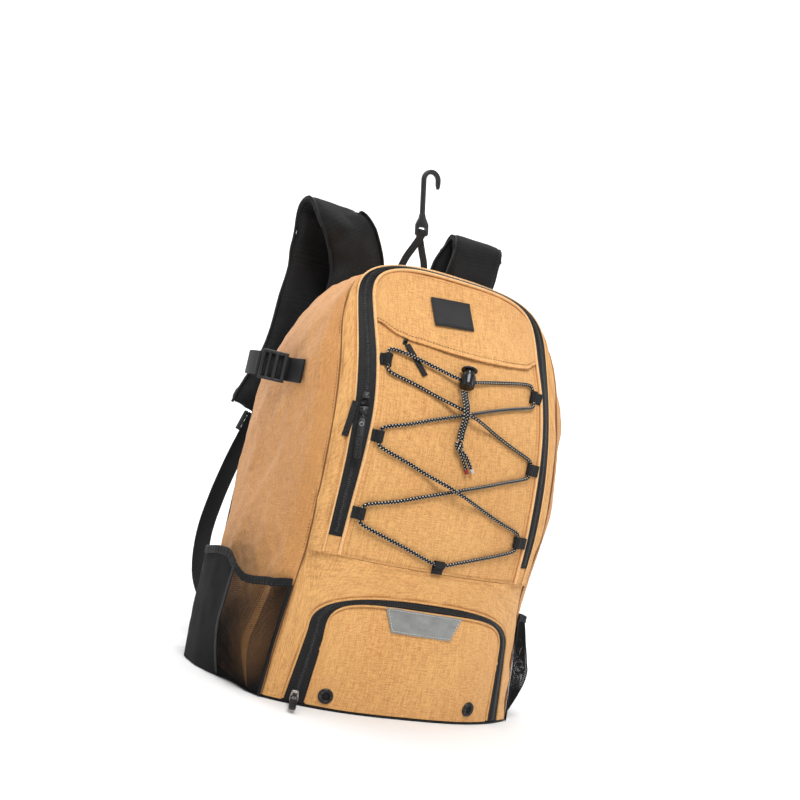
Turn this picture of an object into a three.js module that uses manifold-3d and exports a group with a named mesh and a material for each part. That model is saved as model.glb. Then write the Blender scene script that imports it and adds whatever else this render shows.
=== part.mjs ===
// Sports backpack that stands on its base: a hollow sewn body with a laced front panel,
// a zipped shoe compartment, open side pockets, side straps, shoulder straps and a fence hook.
// Millimetres, +Z up, the front looks along -Y, the origin is on the floor under the body.
import * as THREE from 'three';
import { mergeVertices } from 'three/addons/utils/BufferGeometryUtils.js';
import Module from 'manifold-3d';

const wasm = await Module();
wasm.setup();

// Driving dimensions of the body
const bodyHeight = 458;
const bodyWidth = 308;
const bodyDepth = 236;
const seamHeight = 149;
const zipEndHeight = seamHeight + 19;
const baseThickness = 2.5;
const clothWall = 2;
const backPadding = 9;
const seamGap = 0.4;

// Driving dimensions of the small cloth parts
const flapLowerEdge = 0.8079 * bodyHeight;
const flapEndRise = 10;
const flapLift = 2.8;
const flapOverlap = 9;
const pocketWall = 1.4;
const bindingHeight = 8.5;
const bindingThickness = 2.2;
const labelWidth = 48;
const labelHeight = 29;
const reflectorTopWidth = 90;
const reflectorBottomWidth = 69;
const reflectorHeight = 24;
const patchThickness = 1;

// Driving dimensions of the lacing
const cordDiameter = 3.6;
const cordClearance = 0.5;
const loopWidth = 12;
const loopWebbing = 1;
const lacingShift = -2.5;
const lockRadius = 8;
const lockLength = 15;
const lockBore = 5.4;
const buttonFlangeRadius = 8.6;
const buttonFlangeThickness = 4;
const buttonStemRadius = 5;
const buttonTravel = 4;
const knotRadius = 5;

// Driving dimensions of the zip pieces
const sliderWidth = 8.5;
const sliderLength = 13;
const sliderThickness = 2.6;
const pullerPinRadius = 0.8;
const pullerPinClearance = 0.35;
const pullerWidth = 7;
const pullerThickness = 2.4;
const mainPullerLength = 46;
const shoePullerLength = 33;
const tapePullerWidth = 6.5;
const tapePullerThickness = 1.5;

// Driving dimensions of the straps, the loop and the hook
const sideStrapWidth = 25;
const sideStrapThickness = 1.8;
const sideStrapReach = 31;
const shoulderStrapWidth = 78;
const shoulderStrapThickness = 11;
const lowerWebbingWidth = 25;
const lowerWebbingThickness = 1.8;
const adjusterWidth = 33;
const adjusterHeight = 24;
const adjusterThickness = 7;
const buckleWidth = 27;
const buckleHeight = 31;
const buckleThickness = 6;
const haulWebbingWidth = 9;
const haulWebbingThickness = 1.5;
const haulLoopSpread = 42;
const hookThickness = 6;
const hookRod = 6;
const hookBaseWidth = 16;
const hookSlotWidth = 10;
const hookSlotHeight = 5;
const hookHeight = 78;
const hookLean = -0.2;
const hookBend = 12.5;

// Materials
function finish(color, roughness, metalness = 0) {
  return new THREE.MeshStandardMaterial({ color, roughness, metalness });
}
const canvas = finish(0xc08a4e, 0.9);
const blackCloth = finish(0x17171a, 0.85);
const blackNet = finish(0x1b1b1e, 0.9);
const blackPlastic = finish(0x101012, 0.35);
const blackMetal = finish(0x141416, 0.3, 0.7);
const silverCloth = finish(0x9b9da1, 0.4, 0.1);
const cordCloth = finish(0x222225, 0.8);

// Positions on the body are written as shares of its width and height
const acrossTo = (share) => share * bodyWidth;
const upTo = (share) => share * bodyHeight;
const placed = ({ x, z, ...rest }) => ({ x: acrossTo(x), z: upTo(z), ...rest });
// On the front panel a height is a share of the way from the seam to the top, and on the
// shoe compartment a share of the way up to the seam
const onPanel = ({ x, z, ...rest }) => (
  { x: acrossTo(x), z: seamHeight + z * (bodyHeight - seamHeight), ...rest }
);
const onShoeFront = ({ x, z, ...rest }) => ({ x: acrossTo(x), z: z * seamHeight, ...rest });

// The body's lines. height is a share of bodyHeight, the halves are shares of bodyWidth and
// the depths are shares of bodyDepth, negative towards the front.
const bodyLines = [
  { height: 0.000, centre: -0.575, edgeHalf: 0.344, edge: -0.500, zipHalf: 0.396, zip: -0.475, seamHalf: 0.471, seam: -0.424 },
  { height: 0.131, centre: -0.588, edgeHalf: 0.344, edge: -0.504, zipHalf: 0.396, zip: -0.479, seamHalf: 0.456, seam: -0.415 },
  { height: 0.275, centre: -0.574, edgeHalf: 0.344, edge: -0.502, zipHalf: 0.393, zip: -0.474, seamHalf: 0.434, seam: -0.411 },
  { height: 0.328, centre: -0.572, edgeHalf: 0.342, edge: -0.506, zipHalf: 0.390, zip: -0.478, seamHalf: 0.432, seam: -0.428 },
  { height: 0.437, centre: -0.572, edgeHalf: 0.341, edge: -0.518, zipHalf: 0.393, zip: -0.494, seamHalf: 0.443, seam: -0.457 },
  { height: 0.546, centre: -0.560, edgeHalf: 0.334, edge: -0.518, zipHalf: 0.391, zip: -0.488, seamHalf: 0.445, seam: -0.453 },
  { height: 0.655, centre: -0.536, edgeHalf: 0.328, edge: -0.494, zipHalf: 0.388, zip: -0.450, seamHalf: 0.442, seam: -0.418 },
  { height: 0.755, centre: -0.470, edgeHalf: 0.328, edge: -0.424, zipHalf: 0.388, zip: -0.380, seamHalf: 0.440, seam: -0.355 },
  { height: 0.856, centre: -0.365, edgeHalf: 0.331, edge: -0.305, zipHalf: 0.390, zip: -0.283, seamHalf: 0.440, seam: -0.260 },
  { height: 0.928, centre: -0.280, edgeHalf: 0.334, edge: -0.224, zipHalf: 0.390, zip: -0.212, seamHalf: 0.440, seam: -0.182 },
  { height: 1.000, centre: -0.212, edgeHalf: 0.334, edge: -0.160, zipHalf: 0.390, zip: -0.155, seamHalf: 0.440, seam: -0.118 },
];

// The arches that run up one side, over the top and down the other. half is the column of
// bodyLines, or a share of bodyWidth, that the legs follow. shoulder and top are shares of
// bodyHeight, roundness is the exponent of the shoulder's curve. toBack is the place between
// the side seam, 0, and the back edge, 1. The inward columns say which way the wall is thick.
const arches = [
  { name: 'panelEdge', half: 'edgeHalf', depth: 'edge', toBack: 0, shoulder: 0.873, top: 0.983, roundness: 3.5, inward: [0.15, 0.90, 0.40] },
  { name: 'zipEdge', half: 'zipHalf', depth: 'zip', toBack: 0, shoulder: 0.862, top: 0.991, roundness: 3.2, inward: [0.35, 0.85, 0.60] },
  { name: 'sideSeam', half: 'seamHalf', depth: 'seam', toBack: 0, shoulder: 0.764, top: 0.995, roundness: 3.0, inward: [0.60, 0.70, 0.80] },
  { name: 'corner', half: 0.481, depth: 'seam', toBack: 0.08, shoulder: 0.690, top: 0.997, roundness: 2.7, inward: [0.85, 0.45, 0.95] },
  { name: 'sideFront', half: 0.500, depth: 'seam', toBack: 0.34, shoulder: 0.610, top: 0.999, roundness: 2.5, inward: [1.00, 0.10, 1.00] },
  { name: 'sideBack', half: 0.500, depth: 'seam', toBack: 0.70, shoulder: 0.560, top: 0.998, roundness: 2.3, inward: [1.00, -0.10, 1.00] },
  { name: 'backEdge', half: 0.474, depth: 'seam', toBack: 1, shoulder: 0.546, top: 0.988, roundness: 2.1, inward: [0.75, -0.75, 0.80] },
];
const backEdgeDepth = 0.373;
const crownShape = 2.2;
const cornerShare = 0.65;
const legShare = 0.55;
const legSteps = 8;
const archSteps = 7;

// Value of a column of the body's lines at a height, on a smooth curve through the rows
function lineAt(column, z) {
  const share = z / bodyHeight;
  let row = 0;
  while (row < bodyLines.length - 2 && bodyLines[row + 1].height < share) row += 1;
  const at = (i) => bodyLines[Math.min(Math.max(i, 0), bodyLines.length - 1)];
  const slope = (i) => (at(i + 1)[column] - at(i - 1)[column]) / (at(i + 1).height - at(i - 1).height);
  const low = bodyLines[row];
  const high = bodyLines[row + 1];
  const span = high.height - low.height;
  const t = (share - low.height) / span;
  const rise = (2 * t - 3) * t * t + 1;
  return rise * low[column] + (1 - rise) * high[column]
    + span * t * (1 - t) * ((1 - t) * slope(row) - t * slope(row + 1));
}

// Half width of an arch's legs at a height
function archHalf(arch, z) {
  if (typeof arch.half === 'string') return lineAt(arch.half, z) * bodyWidth;
  if (arch.name !== 'corner') return arch.half * bodyWidth;
  return THREE.MathUtils.lerp(lineAt('seamHalf', z), 0.5, cornerShare) * bodyWidth;
}

// Depth of an arch at a height and a share of its half width: it bows forward in the middle
function archDepth(arch, z, sideShare) {
  const front = lineAt(arch.depth, z);
  const bow = lineAt('centre', z) - lineAt('edge', z);
  const crowned = front + bow * (1 - Math.pow(Math.min(Math.abs(sideShare), 1), crownShape));
  return THREE.MathUtils.lerp(crowned, backEdgeDepth, arch.toBack) * bodyDepth;
}

// A point of an arch. ring runs from -1, the left foot, over the top, 0, to 1, the right foot.
function archPoint(arch, ring, footHeight, inset) {
  const climb = 1 - Math.abs(ring);
  const side = ring < 0 ? -1 : 1;
  const [across, depth, down] = arch.inward;
  const top = arch.top * bodyHeight - inset * down;
  const shoulder = arch.shoulder * bodyHeight;
  let z = footHeight + (shoulder - footHeight) * (climb / legShare);
  let share = 1;
  if (climb > legShare) {
    const angle = ((climb - legShare) / (1 - legShare)) * (Math.PI / 2);
    z = shoulder + (top - shoulder) * Math.pow(Math.sin(angle), 2 / arch.roundness);
    share = Math.pow(Math.max(Math.cos(angle), 0), 2 / arch.roundness);
  }
  const half = archHalf(arch, Math.min(z, shoulder)) - inset * across;
  return new THREE.Vector3(side * share * half, archDepth(arch, z, share) + inset * depth, z);
}

// A point of the body between two arches, where station 1.5 is halfway from the second
// arch to the third
function bodyPoint(station, ring, footHeight, inset) {
  const first = Math.min(Math.floor(station), arches.length - 2);
  const start = archPoint(arches[first], ring, footHeight, inset);
  const end = archPoint(arches[first + 1], ring, footHeight, inset);
  return start.lerp(end, station - first);
}

// A point of the body below the shoulders, by its height alone
function wallPoint(station, side, z, inset) {
  const first = Math.min(Math.floor(station), arches.length - 2);
  const at = (arch) => new THREE.Vector3(
    side * (archHalf(arch, z) - inset * arch.inward[0]),
    archDepth(arch, z, 1) + inset * arch.inward[1],
    z,
  );
  return at(arches[first]).lerp(at(arches[first + 1]), station - first);
}

// Outward direction of the wall, level with the floor
function wallNormal(station, side, z) {
  const step = 0.02;
  const low = Math.max(station - step, 0);
  const high = Math.min(station + step, arches.length - 1);
  const along = wallPoint(high, side, z, 0).sub(wallPoint(low, side, z, 0));
  return new THREE.Vector3(side * along.y, -side * along.x, 0).normalize();
}

// Depth of the front panel's outer face
function frontDepth(x, z) {
  const half = lineAt('edgeHalf', z) * bodyWidth;
  return archDepth(arches[0], z, x / half);
}

// Depth of the lower front's outer face, between the two side seams
const lowerCrown = 2.8;
function lowerDepth(x, z) {
  const half = lineAt('seamHalf', z) * bodyWidth;
  const seam = lineAt('seam', z);
  const bow = lineAt('centre', z) - seam;
  return (seam + bow * (1 - Math.pow(Math.min(Math.abs(x / half), 1), lowerCrown))) * bodyDepth;
}

// A point lifted off one of the front faces along its normal
function liftedPoint(depthOf, x, z, lift) {
  const step = 1;
  const slopeX = (depthOf(x + step, z) - depthOf(x - step, z)) / (2 * step);
  const slopeZ = (depthOf(x, z + step) - depthOf(x, z - step)) / (2 * step);
  const normal = new THREE.Vector3(slopeX, -1, slopeZ).normalize();
  return new THREE.Vector3(x, depthOf(x, z), z).addScaledVector(normal, lift);
}
const onFront = (x, z, lift) => liftedPoint(frontDepth, x, z, lift);
const onLacing = (x, z, lift) => onFront(x + lacingShift, z, lift);
const onLower = (x, z, lift) => liftedPoint(lowerDepth, x, z, lift);

// A closed body from points and triangles, turned so that its faces point out
function closedBody(points, index) {
  let volume = 0;
  for (let i = 0; i < index.length; i += 3) {
    const [a, b, c] = [points[index[i]], points[index[i + 1]], points[index[i + 2]]];
    volume += a.dot(new THREE.Vector3().crossVectors(b, c));
  }
  if (volume < 0) index.reverse();
  const geometry = new THREE.BufferGeometry().setFromPoints(points);
  geometry.setIndex(index);
  geometry.computeVertexNormals();
  return geometry;
}

// A wall between an outer and an inner grid of points
function wallBetween(outer, inner) {
  const rows = outer.length;
  const columns = outer[0].length;
  const points = [...outer.flat(), ...inner.flat()];
  const index = [];
  const out = (r, c) => r * columns + c;
  const inn = (r, c) => (rows + r) * columns + c;
  const quad = (a, b, c, d) => index.push(a, b, c, a, c, d);
  for (let r = 0; r < rows - 1; r += 1) {
    for (let c = 0; c < columns - 1; c += 1) {
      quad(out(r, c), out(r, c + 1), out(r + 1, c + 1), out(r + 1, c));
      quad(inn(r, c), inn(r + 1, c), inn(r + 1, c + 1), inn(r, c + 1));
    }
    quad(out(r + 1, 0), inn(r + 1, 0), inn(r, 0), out(r, 0));
    quad(out(r, columns - 1), inn(r, columns - 1), inn(r + 1, columns - 1), out(r + 1, columns - 1));
  }
  for (let c = 0; c < columns - 1; c += 1) {
    quad(out(0, c), inn(0, c), inn(0, c + 1), out(0, c + 1));
    quad(out(rows - 1, c + 1), inn(rows - 1, c + 1), inn(rows - 1, c), out(rows - 1, c));
  }
  return closedBody(points, index);
}

// Grids are written as a function of a row and a column value
function grid(rows, columns, pointAt) {
  return rows.map((row) => columns.map((column) => pointAt(row, column)));
}
function steps(from, to, count) {
  return Array.from({ length: count + 1 }, (_, i) => from + ((to - from) * i) / count);
}

// A closed section swept along stations, each with a place and its two section directions
function sweep(stations, section) {
  const sides = section.length;
  const points = [];
  for (const { place, wide, thick } of stations) {
    for (const [u, v] of section) {
      points.push(place.clone().addScaledVector(wide, u).addScaledVector(thick, v));
    }
  }
  const index = [];
  for (let i = 0; i < stations.length - 1; i += 1) {
    for (let s = 0; s < sides; s += 1) {
      const next = (s + 1) % sides;
      const [a, b] = [i * sides + s, i * sides + next];
      index.push(a, b, b + sides, a, b + sides, a + sides);
    }
  }
  const last = (stations.length - 1) * sides;
  for (let s = 1; s < sides - 1; s += 1) {
    index.push(0, s + 1, s);
    index.push(last, last + s, last + s + 1);
  }
  return closedBody(points, index);
}

// Stations along a path of points. faceAt gives the direction that the strap's face looks.
function stationsAlong(path, faceAt) {
  return path.map((place, i) => {
    const ahead = path[Math.min(i + 1, path.length - 1)];
    const behind = path[Math.max(i - 1, 0)];
    const tangent = ahead.clone().sub(behind).normalize();
    const wide = new THREE.Vector3().crossVectors(tangent, faceAt(place, i)).normalize();
    const thick = new THREE.Vector3().crossVectors(wide, tangent).normalize();
    return { place, wide, thick };
  });
}
function flatSection(width, thickness) {
  const [w, t] = [width / 2, thickness / 2];
  return [[-w, -t], [w, -t], [w, t], [-w, t]];
}
function paddedSection(width, thickness) {
  const [w, t, c] = [width / 2, thickness / 2, thickness * 0.3];
  return [[-w, -t + c], [-w + c, -t], [w - c, -t], [w, -t + c], [w, t - c], [w - c, t], [-w + c, t], [-w, t - c]];
}
function roundSection(radius, sides) {
  return steps(0, 2 * Math.PI, sides).slice(0, sides)
    .map((angle) => [radius * Math.cos(angle), radius * Math.sin(angle)]);
}

// Joins and cuts of closed bodies
function toManifold(geometry) {
  const bare = geometry.clone();
  bare.deleteAttribute('normal');
  bare.deleteAttribute('uv');
  const merged = mergeVertices(bare, 1e-4);
  return new wasm.Manifold(new wasm.Mesh({
    numProp: 3,
    vertProperties: new Float32Array(merged.attributes.position.array),
    triVerts: new Uint32Array(merged.index.array),
  }));
}
function fromManifold(solid) {
  const mesh = solid.getMesh();
  const geometry = new THREE.BufferGeometry();
  geometry.setAttribute('position', new THREE.BufferAttribute(new Float32Array(mesh.vertProperties), 3));
  geometry.setIndex(Array.from(mesh.triVerts));
  geometry.computeVertexNormals();
  return geometry;
}
function joined(first, ...others) {
  return fromManifold(others.reduce((solid, other) => solid.add(toManifold(other)), toManifold(first)));
}

// The model's tree
const backpack = new THREE.Group();
backpack.name = 'backpack';
function add(name, geometry, material, parent = backpack) {
  const mesh = new THREE.Mesh(geometry, material);
  mesh.name = name;
  parent.add(mesh);
  return mesh;
}
// A group placed with its own axes: across, out of the surface and up along it
function placedGroup(origin, out, up) {
  const across = new THREE.Vector3().crossVectors(out, up).normalize();
  const upward = new THREE.Vector3().crossVectors(across, out).normalize();
  const group = new THREE.Group();
  group.quaternion.setFromRotationMatrix(new THREE.Matrix4().makeBasis(across, out, upward));
  group.position.copy(origin);
  backpack.add(group);
  return group;
}

// Ring values shared by everything that follows the arches
const legRing = steps(0, legShare, legSteps);
const curveRing = steps(legShare, 1, archSteps).slice(1);
const leftRing = [...legRing, ...curveRing].map((climb) => climb - 1);
const fullRing = [...leftRing, ...leftRing.slice(0, -1).reverse().map((ring) => -ring)];
const upperFoot = seamHeight + seamGap / 2;
const lowerTop = seamHeight - seamGap / 2;
const wallFoot = baseThickness + seamGap;

// A strip of cloth between two stations, along some of the ring
function archStrip(fromStation, toStation, ring, foot, wall, columns) {
  const stations = steps(fromStation, toStation, columns);
  const layer = (inset) => grid(ring, stations, (r, s) => bodyPoint(s, r, foot, inset));
  return wallBetween(layer(0), layer(wall));
}
// Share of a station step that leaves a seam's gap
function stationGap(station) {
  const step = 0.05;
  const first = wallPoint(station, 1, seamHeight, 0);
  const second = wallPoint(station + step, 1, seamHeight, 0);
  return (seamGap / 2 / first.distanceTo(second)) * step;
}

// Front panel: columns that rise from the seam to the arch, bowed forward in the middle
const curveShares = steps(0, 1, archSteps)
  .map((t) => Math.pow(Math.max(Math.cos((t * Math.PI) / 2), 0), 2 / arches[0].roundness));
const frontColumns = [...curveShares.map((s) => -s), ...curveShares.slice(0, -1).reverse()];
function archTopAt(share, shrink) {
  const arch = arches[0];
  const rise = Math.pow(Math.max(1 - Math.pow(Math.abs(share), arch.roundness), 0), 1 / arch.roundness);
  const shoulder = arch.shoulder * bodyHeight;
  return shoulder + (arch.top * bodyHeight - shrink - shoulder) * rise;
}
function frontPatch(lowerEdgeAt, upperEdgeAt, rows, lift, wall) {
  const layer = (inset) => grid(steps(0, 1, rows), frontColumns, (v, share) => {
    const [across, depth, down] = arches[0].inward;
    const z = THREE.MathUtils.lerp(lowerEdgeAt(share), upperEdgeAt(share, inset * down), v);
    const half = lineAt('edgeHalf', Math.min(z, arches[0].shoulder * bodyHeight)) * bodyWidth;
    const x = share * (half - seamGap / 2 - inset * across);
    return new THREE.Vector3(x, archDepth(arches[0], z, share) - lift + inset * depth, z);
  });
  return wallBetween(layer(0), layer(wall));
}
const flapEdgeAt = (share) => flapLowerEdge + flapEndRise * share * share;
const panelTopAt = (share) => flapEdgeAt(share) + flapOverlap;
const flapTopAt = (share, shrink) => archTopAt(share, shrink + seamGap);
add('front_panel', frontPatch(() => upperFoot, panelTopAt, legSteps + 1, 0, clothWall), canvas);
add('top_pocket_flap', frontPatch(flapEdgeAt, flapTopAt, 4, flapLift, clothWall), canvas);

// Zip tape, front gusset, side panels and top panel
add('main_zipper_tape', archStrip(0, 1 - stationGap(0), fullRing, zipEndHeight, clothWall, 2), blackCloth);
function zipEnd(side) {
  const heights = [upperFoot, zipEndHeight - seamGap];
  const layer = (inset) => grid(heights, steps(0, 1 - stationGap(0), 2), (z, s) => wallPoint(s, side, z, inset));
  return wallBetween(layer(0), layer(clothWall));
}
add('zip_end_left', zipEnd(-1), canvas);
add('zip_end_right', zipEnd(1), canvas);
add('front_gusset', archStrip(1, 2 - stationGap(1), fullRing, upperFoot, clothWall, 2), canvas);
const topStart = leftRing[legSteps + 4];
const lastStation = arches.length - 1;
const topRing = fullRing.filter((ring) => Math.abs(ring) <= Math.abs(topStart));
const topGap = 0.0016;
const topPanelRing = topRing.map((ring, i) => {
  if (i === 0) return ring + topGap;
  return i === topRing.length - 1 ? ring - topGap : ring;
});
add('top_panel', archStrip(2, lastStation, topPanelRing, upperFoot, clothWall, 8), canvas);

function sidePanel(side) {
  const stations = steps(2, lastStation, 8);
  const lowHeights = steps(wallFoot, upperFoot, 6).slice(0, -1);
  const sideRing = leftRing.slice(0, legSteps + 5);
  const layer = (inset) => [
    ...grid(lowHeights, stations, (z, s) => wallPoint(s, side, z, inset)),
    ...grid(sideRing, stations, (r, s) => bodyPoint(s, -side * r, upperFoot, inset)),
  ];
  return wallBetween(layer(0), layer(clothWall));
}
add('side_panel_left', sidePanel(-1), canvas);
add('side_panel_right', sidePanel(1), canvas);

// Padded back panel inside the back edge
const backArch = arches[lastStation];
const backShares = steps(0, 1, archSteps)
  .map((t) => Math.pow(Math.max(Math.cos((t * Math.PI) / 2), 0), 2 / backArch.roundness));
const backColumns = [...backShares.map((s) => -s), ...backShares.slice(0, -1).reverse()];
const backBow = 8;
function backLayer(outward) {
  const shoulder = backArch.shoulder * bodyHeight;
  const top = backArch.top * bodyHeight - clothWall - seamGap;
  return grid(steps(0, 1, legSteps + 2), backColumns, (v, share) => {
    const rise = Math.pow(Math.max(1 - Math.pow(Math.abs(share), backArch.roundness), 0), 1 / backArch.roundness);
    const z = wallFoot + v * (shoulder + (top - shoulder) * rise - wallFoot);
    const x = share * (backArch.half * bodyWidth - clothWall - seamGap);
    const bow = backBow * (1 - share * share) * outward;
    return new THREE.Vector3(x, backEdgeDepth * bodyDepth + (outward ? bow : -backPadding), z);
  });
}
add('back_panel', wallBetween(backLayer(1), backLayer(0)), blackCloth);

// Base panel under the walls
function baseOutline() {
  const front = steps(-1, 1, 16).map((share) => {
    const x = share * lineAt('seamHalf', 0) * bodyWidth;
    return new THREE.Vector2(x, lowerDepth(x, 0));
  });
  const right = steps(2, lastStation, 8).slice(1).map((s) => wallPoint(s, 1, 0, 0));
  const left = right.map((p) => new THREE.Vector2(-p.x, p.y)).reverse();
  return [...front, ...right.map((p) => new THREE.Vector2(p.x, p.y)), ...left];
}
add('base_panel', new THREE.ExtrudeGeometry(new THREE.Shape(baseOutline()), {
  depth: baseThickness,
  bevelEnabled: false,
}), blackCloth);

// Shoe compartment: the door, its zip tape and the cloth around them share one ring.
// The halves are shares of bodyWidth, the heights are shares of seamHeight.
const doorLines = {
  inner: { footHalf: 0.346, shoulderHalf: 0.331, shoulder: 0.436, top: 0.728, roundness: 4.2 },
  outer: { footHalf: 0.412, shoulderHalf: 0.383, shoulder: 0.503, top: 0.795, roundness: 2.6 },
};
function doorPoint(line, ring, grow) {
  const climb = 1 - Math.abs(ring);
  const side = ring < 0 ? -1 : 1;
  const shoulder = line.shoulder * seamHeight;
  const top = line.top * seamHeight + grow;
  const leg = Math.min(climb / legShare, 1);
  const half = THREE.MathUtils.lerp(line.footHalf, line.shoulderHalf, leg) * bodyWidth + grow;
  if (climb <= legShare) return new THREE.Vector2(side * half, THREE.MathUtils.lerp(wallFoot, shoulder, leg));
  const angle = ((climb - legShare) / (1 - legShare)) * (Math.PI / 2);
  return new THREE.Vector2(
    side * half * Math.pow(Math.max(Math.cos(angle), 0), 2 / line.roundness),
    shoulder + (top - shoulder) * Math.pow(Math.sin(angle), 2 / line.roundness),
  );
}
// The lower front's rim: up the side seam, then along the seam under the front panel
function rimPoint(ring) {
  const climb = 1 - Math.abs(ring);
  const side = ring < 0 ? -1 : 1;
  const z = THREE.MathUtils.lerp(wallFoot, lowerTop, Math.min(climb / legShare, 1));
  const half = lineAt('seamHalf', z) * bodyWidth - seamGap * 1.2;
  const share = climb <= legShare ? 1 : 1 - (climb - legShare) / (1 - legShare);
  return new THREE.Vector2(side * half * share, z);
}
function lowerPoint(flat, inset) {
  const half = lineAt('seamHalf', flat.y) * bodyWidth;
  const share = Math.min(Math.abs(flat.x) / half, 1);
  const [across, depth] = arches[2].inward;
  const spread = 1 - (inset * across * share * share) / half;
  const inward = THREE.MathUtils.lerp(1, depth, share * share);
  return new THREE.Vector3(flat.x * spread, lowerDepth(flat.x, flat.y) + inset * inward, flat.y);
}
const doorRing = [...steps(0, legShare, 4), ...steps(legShare, 1, 6).slice(1)].map((climb) => climb - 1);
const fullDoorRing = [...doorRing, ...doorRing.slice(0, -1).reverse().map((ring) => -ring)];
function doorStrip(innerAt, outerAt, columns) {
  const layer = (inset) => grid(fullDoorRing, steps(0, 1, columns), (ring, t) => {
    const flat = innerAt(ring).lerp(outerAt(ring), t);
    return lowerPoint(flat, inset);
  });
  return wallBetween(layer(0), layer(clothWall));
}
add('shoe_front', doorStrip((ring) => doorPoint(doorLines.outer, ring, seamGap), rimPoint, 4), canvas);
add('shoe_zipper_tape', doorStrip(
  (ring) => doorPoint(doorLines.inner, ring, seamGap),
  (ring) => doorPoint(doorLines.outer, ring, 0),
  2,
), blackCloth);
const doorColumns = fullDoorRing.filter((ring) => 1 - Math.abs(ring) >= legShare - 1e-9);
function doorLayer(inset) {
  return grid(steps(0, 1, 5), doorColumns, (v, ring) => {
    const edge = doorPoint(doorLines.inner, ring, 0);
    const z = THREE.MathUtils.lerp(wallFoot, edge.y, v);
    const widen = THREE.MathUtils.lerp(doorLines.inner.footHalf / doorLines.inner.shoulderHalf, 1,
      Math.min((z - wallFoot) / (doorLines.inner.shoulder * seamHeight - wallFoot), 1));
    return lowerPoint(new THREE.Vector2(edge.x * widen, z), inset);
  });
}
add('shoe_door', wallBetween(doorLayer(0), doorLayer(clothWall)), canvas);

// A thin patch sewn on a front face. corners are its left and right edge at a height share.
function patch(surface, centreX, centreZ, tilt, widthAt, height, thickness, columns) {
  const layer = (lift) => grid(steps(-0.5, 0.5, 2), steps(-0.5, 0.5, columns), (v, u) => {
    const [across, up] = [u * widthAt(v), v * height];
    const x = centreX + across * Math.cos(tilt) - up * Math.sin(tilt);
    const z = centreZ + across * Math.sin(tilt) + up * Math.cos(tilt);
    return surface(x, z, lift);
  });
  return wallBetween(layer(cordClearance + thickness), layer(cordClearance));
}
const labelPlace = placed({ x: -0.0519, z: 0.8974, tilt: 0.09 });
const onFlap = (x, z, lift) => onFront(x, z, lift + flapLift);
add('label_patch', patch(onFlap, labelPlace.x, labelPlace.z, labelPlace.tilt, () => labelWidth,
  labelHeight, patchThickness, 4), blackCloth);
const reflectorPlace = onShoeFront({ x: -0.0162, z: 0.6477, tilt: -0.01 });
add('reflective_patch', patch(onLower, reflectorPlace.x, reflectorPlace.z, reflectorPlace.tilt,
  (v) => THREE.MathUtils.lerp(reflectorBottomWidth, reflectorTopWidth, v + 0.5),
  reflectorHeight, patchThickness, 6), silverCloth);

// Rolled eyelets low on the door
const eyeletHoleRadius = 3.6;
const eyeletRadius = 7.6;
const eyeletHeight = 2.4;
const eyeletPlaces = [
  { name: 'eyelet_left', x: -0.2906, z: 0.0941 },
  { name: 'eyelet_right', x: 0.2386, z: 0.1107 },
].map(onShoeFront);
function eyelet() {
  const profile = steps(0, 2 * Math.PI, 10).slice(0, 10).map((angle) => new THREE.Vector2(
    (eyeletHoleRadius + eyeletRadius) / 2 + ((eyeletRadius - eyeletHoleRadius) / 2) * Math.cos(angle),
    (eyeletHeight / 2) * (1 + Math.sin(angle)),
  ));
  return new THREE.LatheGeometry([...profile, profile[0]], 20);
}
for (const { name, x, z } of eyeletPlaces) {
  const place = onLower(x, z, cordClearance);
  const out = onLower(x, z, 1 + cordClearance).sub(place);
  add(name, eyelet(), blackMetal, placedGroup(place, out, new THREE.Vector3(0, 0, 1)));
}

// Side pockets. Each row is a place from the front seam, 0, to the back edge, 1: the height
// of the mouth, and how far the cloth stands off the side panel at its foot, middle and mouth.
const pocketHeight = 122;
const pocketBulge = 26;
const pocketLines = [
  { along: 0.000, mouth: 0.96, foot: 0.02, middle: 0.02, lip: 0.02 },
  { along: 0.110, mouth: 0.95, foot: 0.06, middle: 0.34, lip: 0.10 },
  { along: 0.241, mouth: 0.93, foot: 0.08, middle: 0.76, lip: 0.22 },
  { along: 0.369, mouth: 0.89, foot: 0.12, middle: 0.88, lip: 0.34 },
  { along: 0.440, mouth: 0.88, foot: 0.24, middle: 0.88, lip: 0.52 },
  { along: 0.497, mouth: 0.95, foot: 0.46, middle: 0.90, lip: 0.74 },
  { along: 0.545, mouth: 1.04, foot: 0.70, middle: 0.94, lip: 0.84 },
  { along: 0.640, mouth: 1.03, foot: 0.96, middle: 1.06, lip: 0.98 },
  { along: 0.754, mouth: 0.98, foot: 0.96, middle: 1.04, lip: 0.99 },
  { along: 0.900, mouth: 0.93, foot: 0.60, middle: 0.66, lip: 0.56 },
  { along: 1.000, mouth: 0.90, foot: 0.10, middle: 0.10, lip: 0.06 },
];
const pocketFoot = 1;
const pocketStart = 2.06;
const pocketEnd = lastStation - 0.04;
function pocketPoint(side, line, height, thickness) {
  const station = THREE.MathUtils.lerp(pocketStart, pocketEnd, line.along);
  const mouth = line.mouth * pocketHeight;
  const z = THREE.MathUtils.lerp(pocketFoot, mouth, height);
  const low = THREE.MathUtils.lerp(line.foot, line.middle, Math.sin(Math.min(height * 2, 1) * (Math.PI / 2)));
  const stand = height > 0.5 ? THREE.MathUtils.lerp(line.middle, line.lip, (height - 0.5) * 2) : low;
  const wall = wallPoint(station, side, z, 0);
  const offset = seamGap + stand * pocketBulge + thickness;
  return wall.addScaledVector(wallNormal(station, side, z), offset);
}
function pocketWallBetween(side, from, to, rows, thickness) {
  const layer = (out) => grid(steps(from, to, rows), pocketLines, (h, line) => pocketPoint(side, line, h, out));
  return wallBetween(layer(thickness), layer(0));
}
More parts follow.
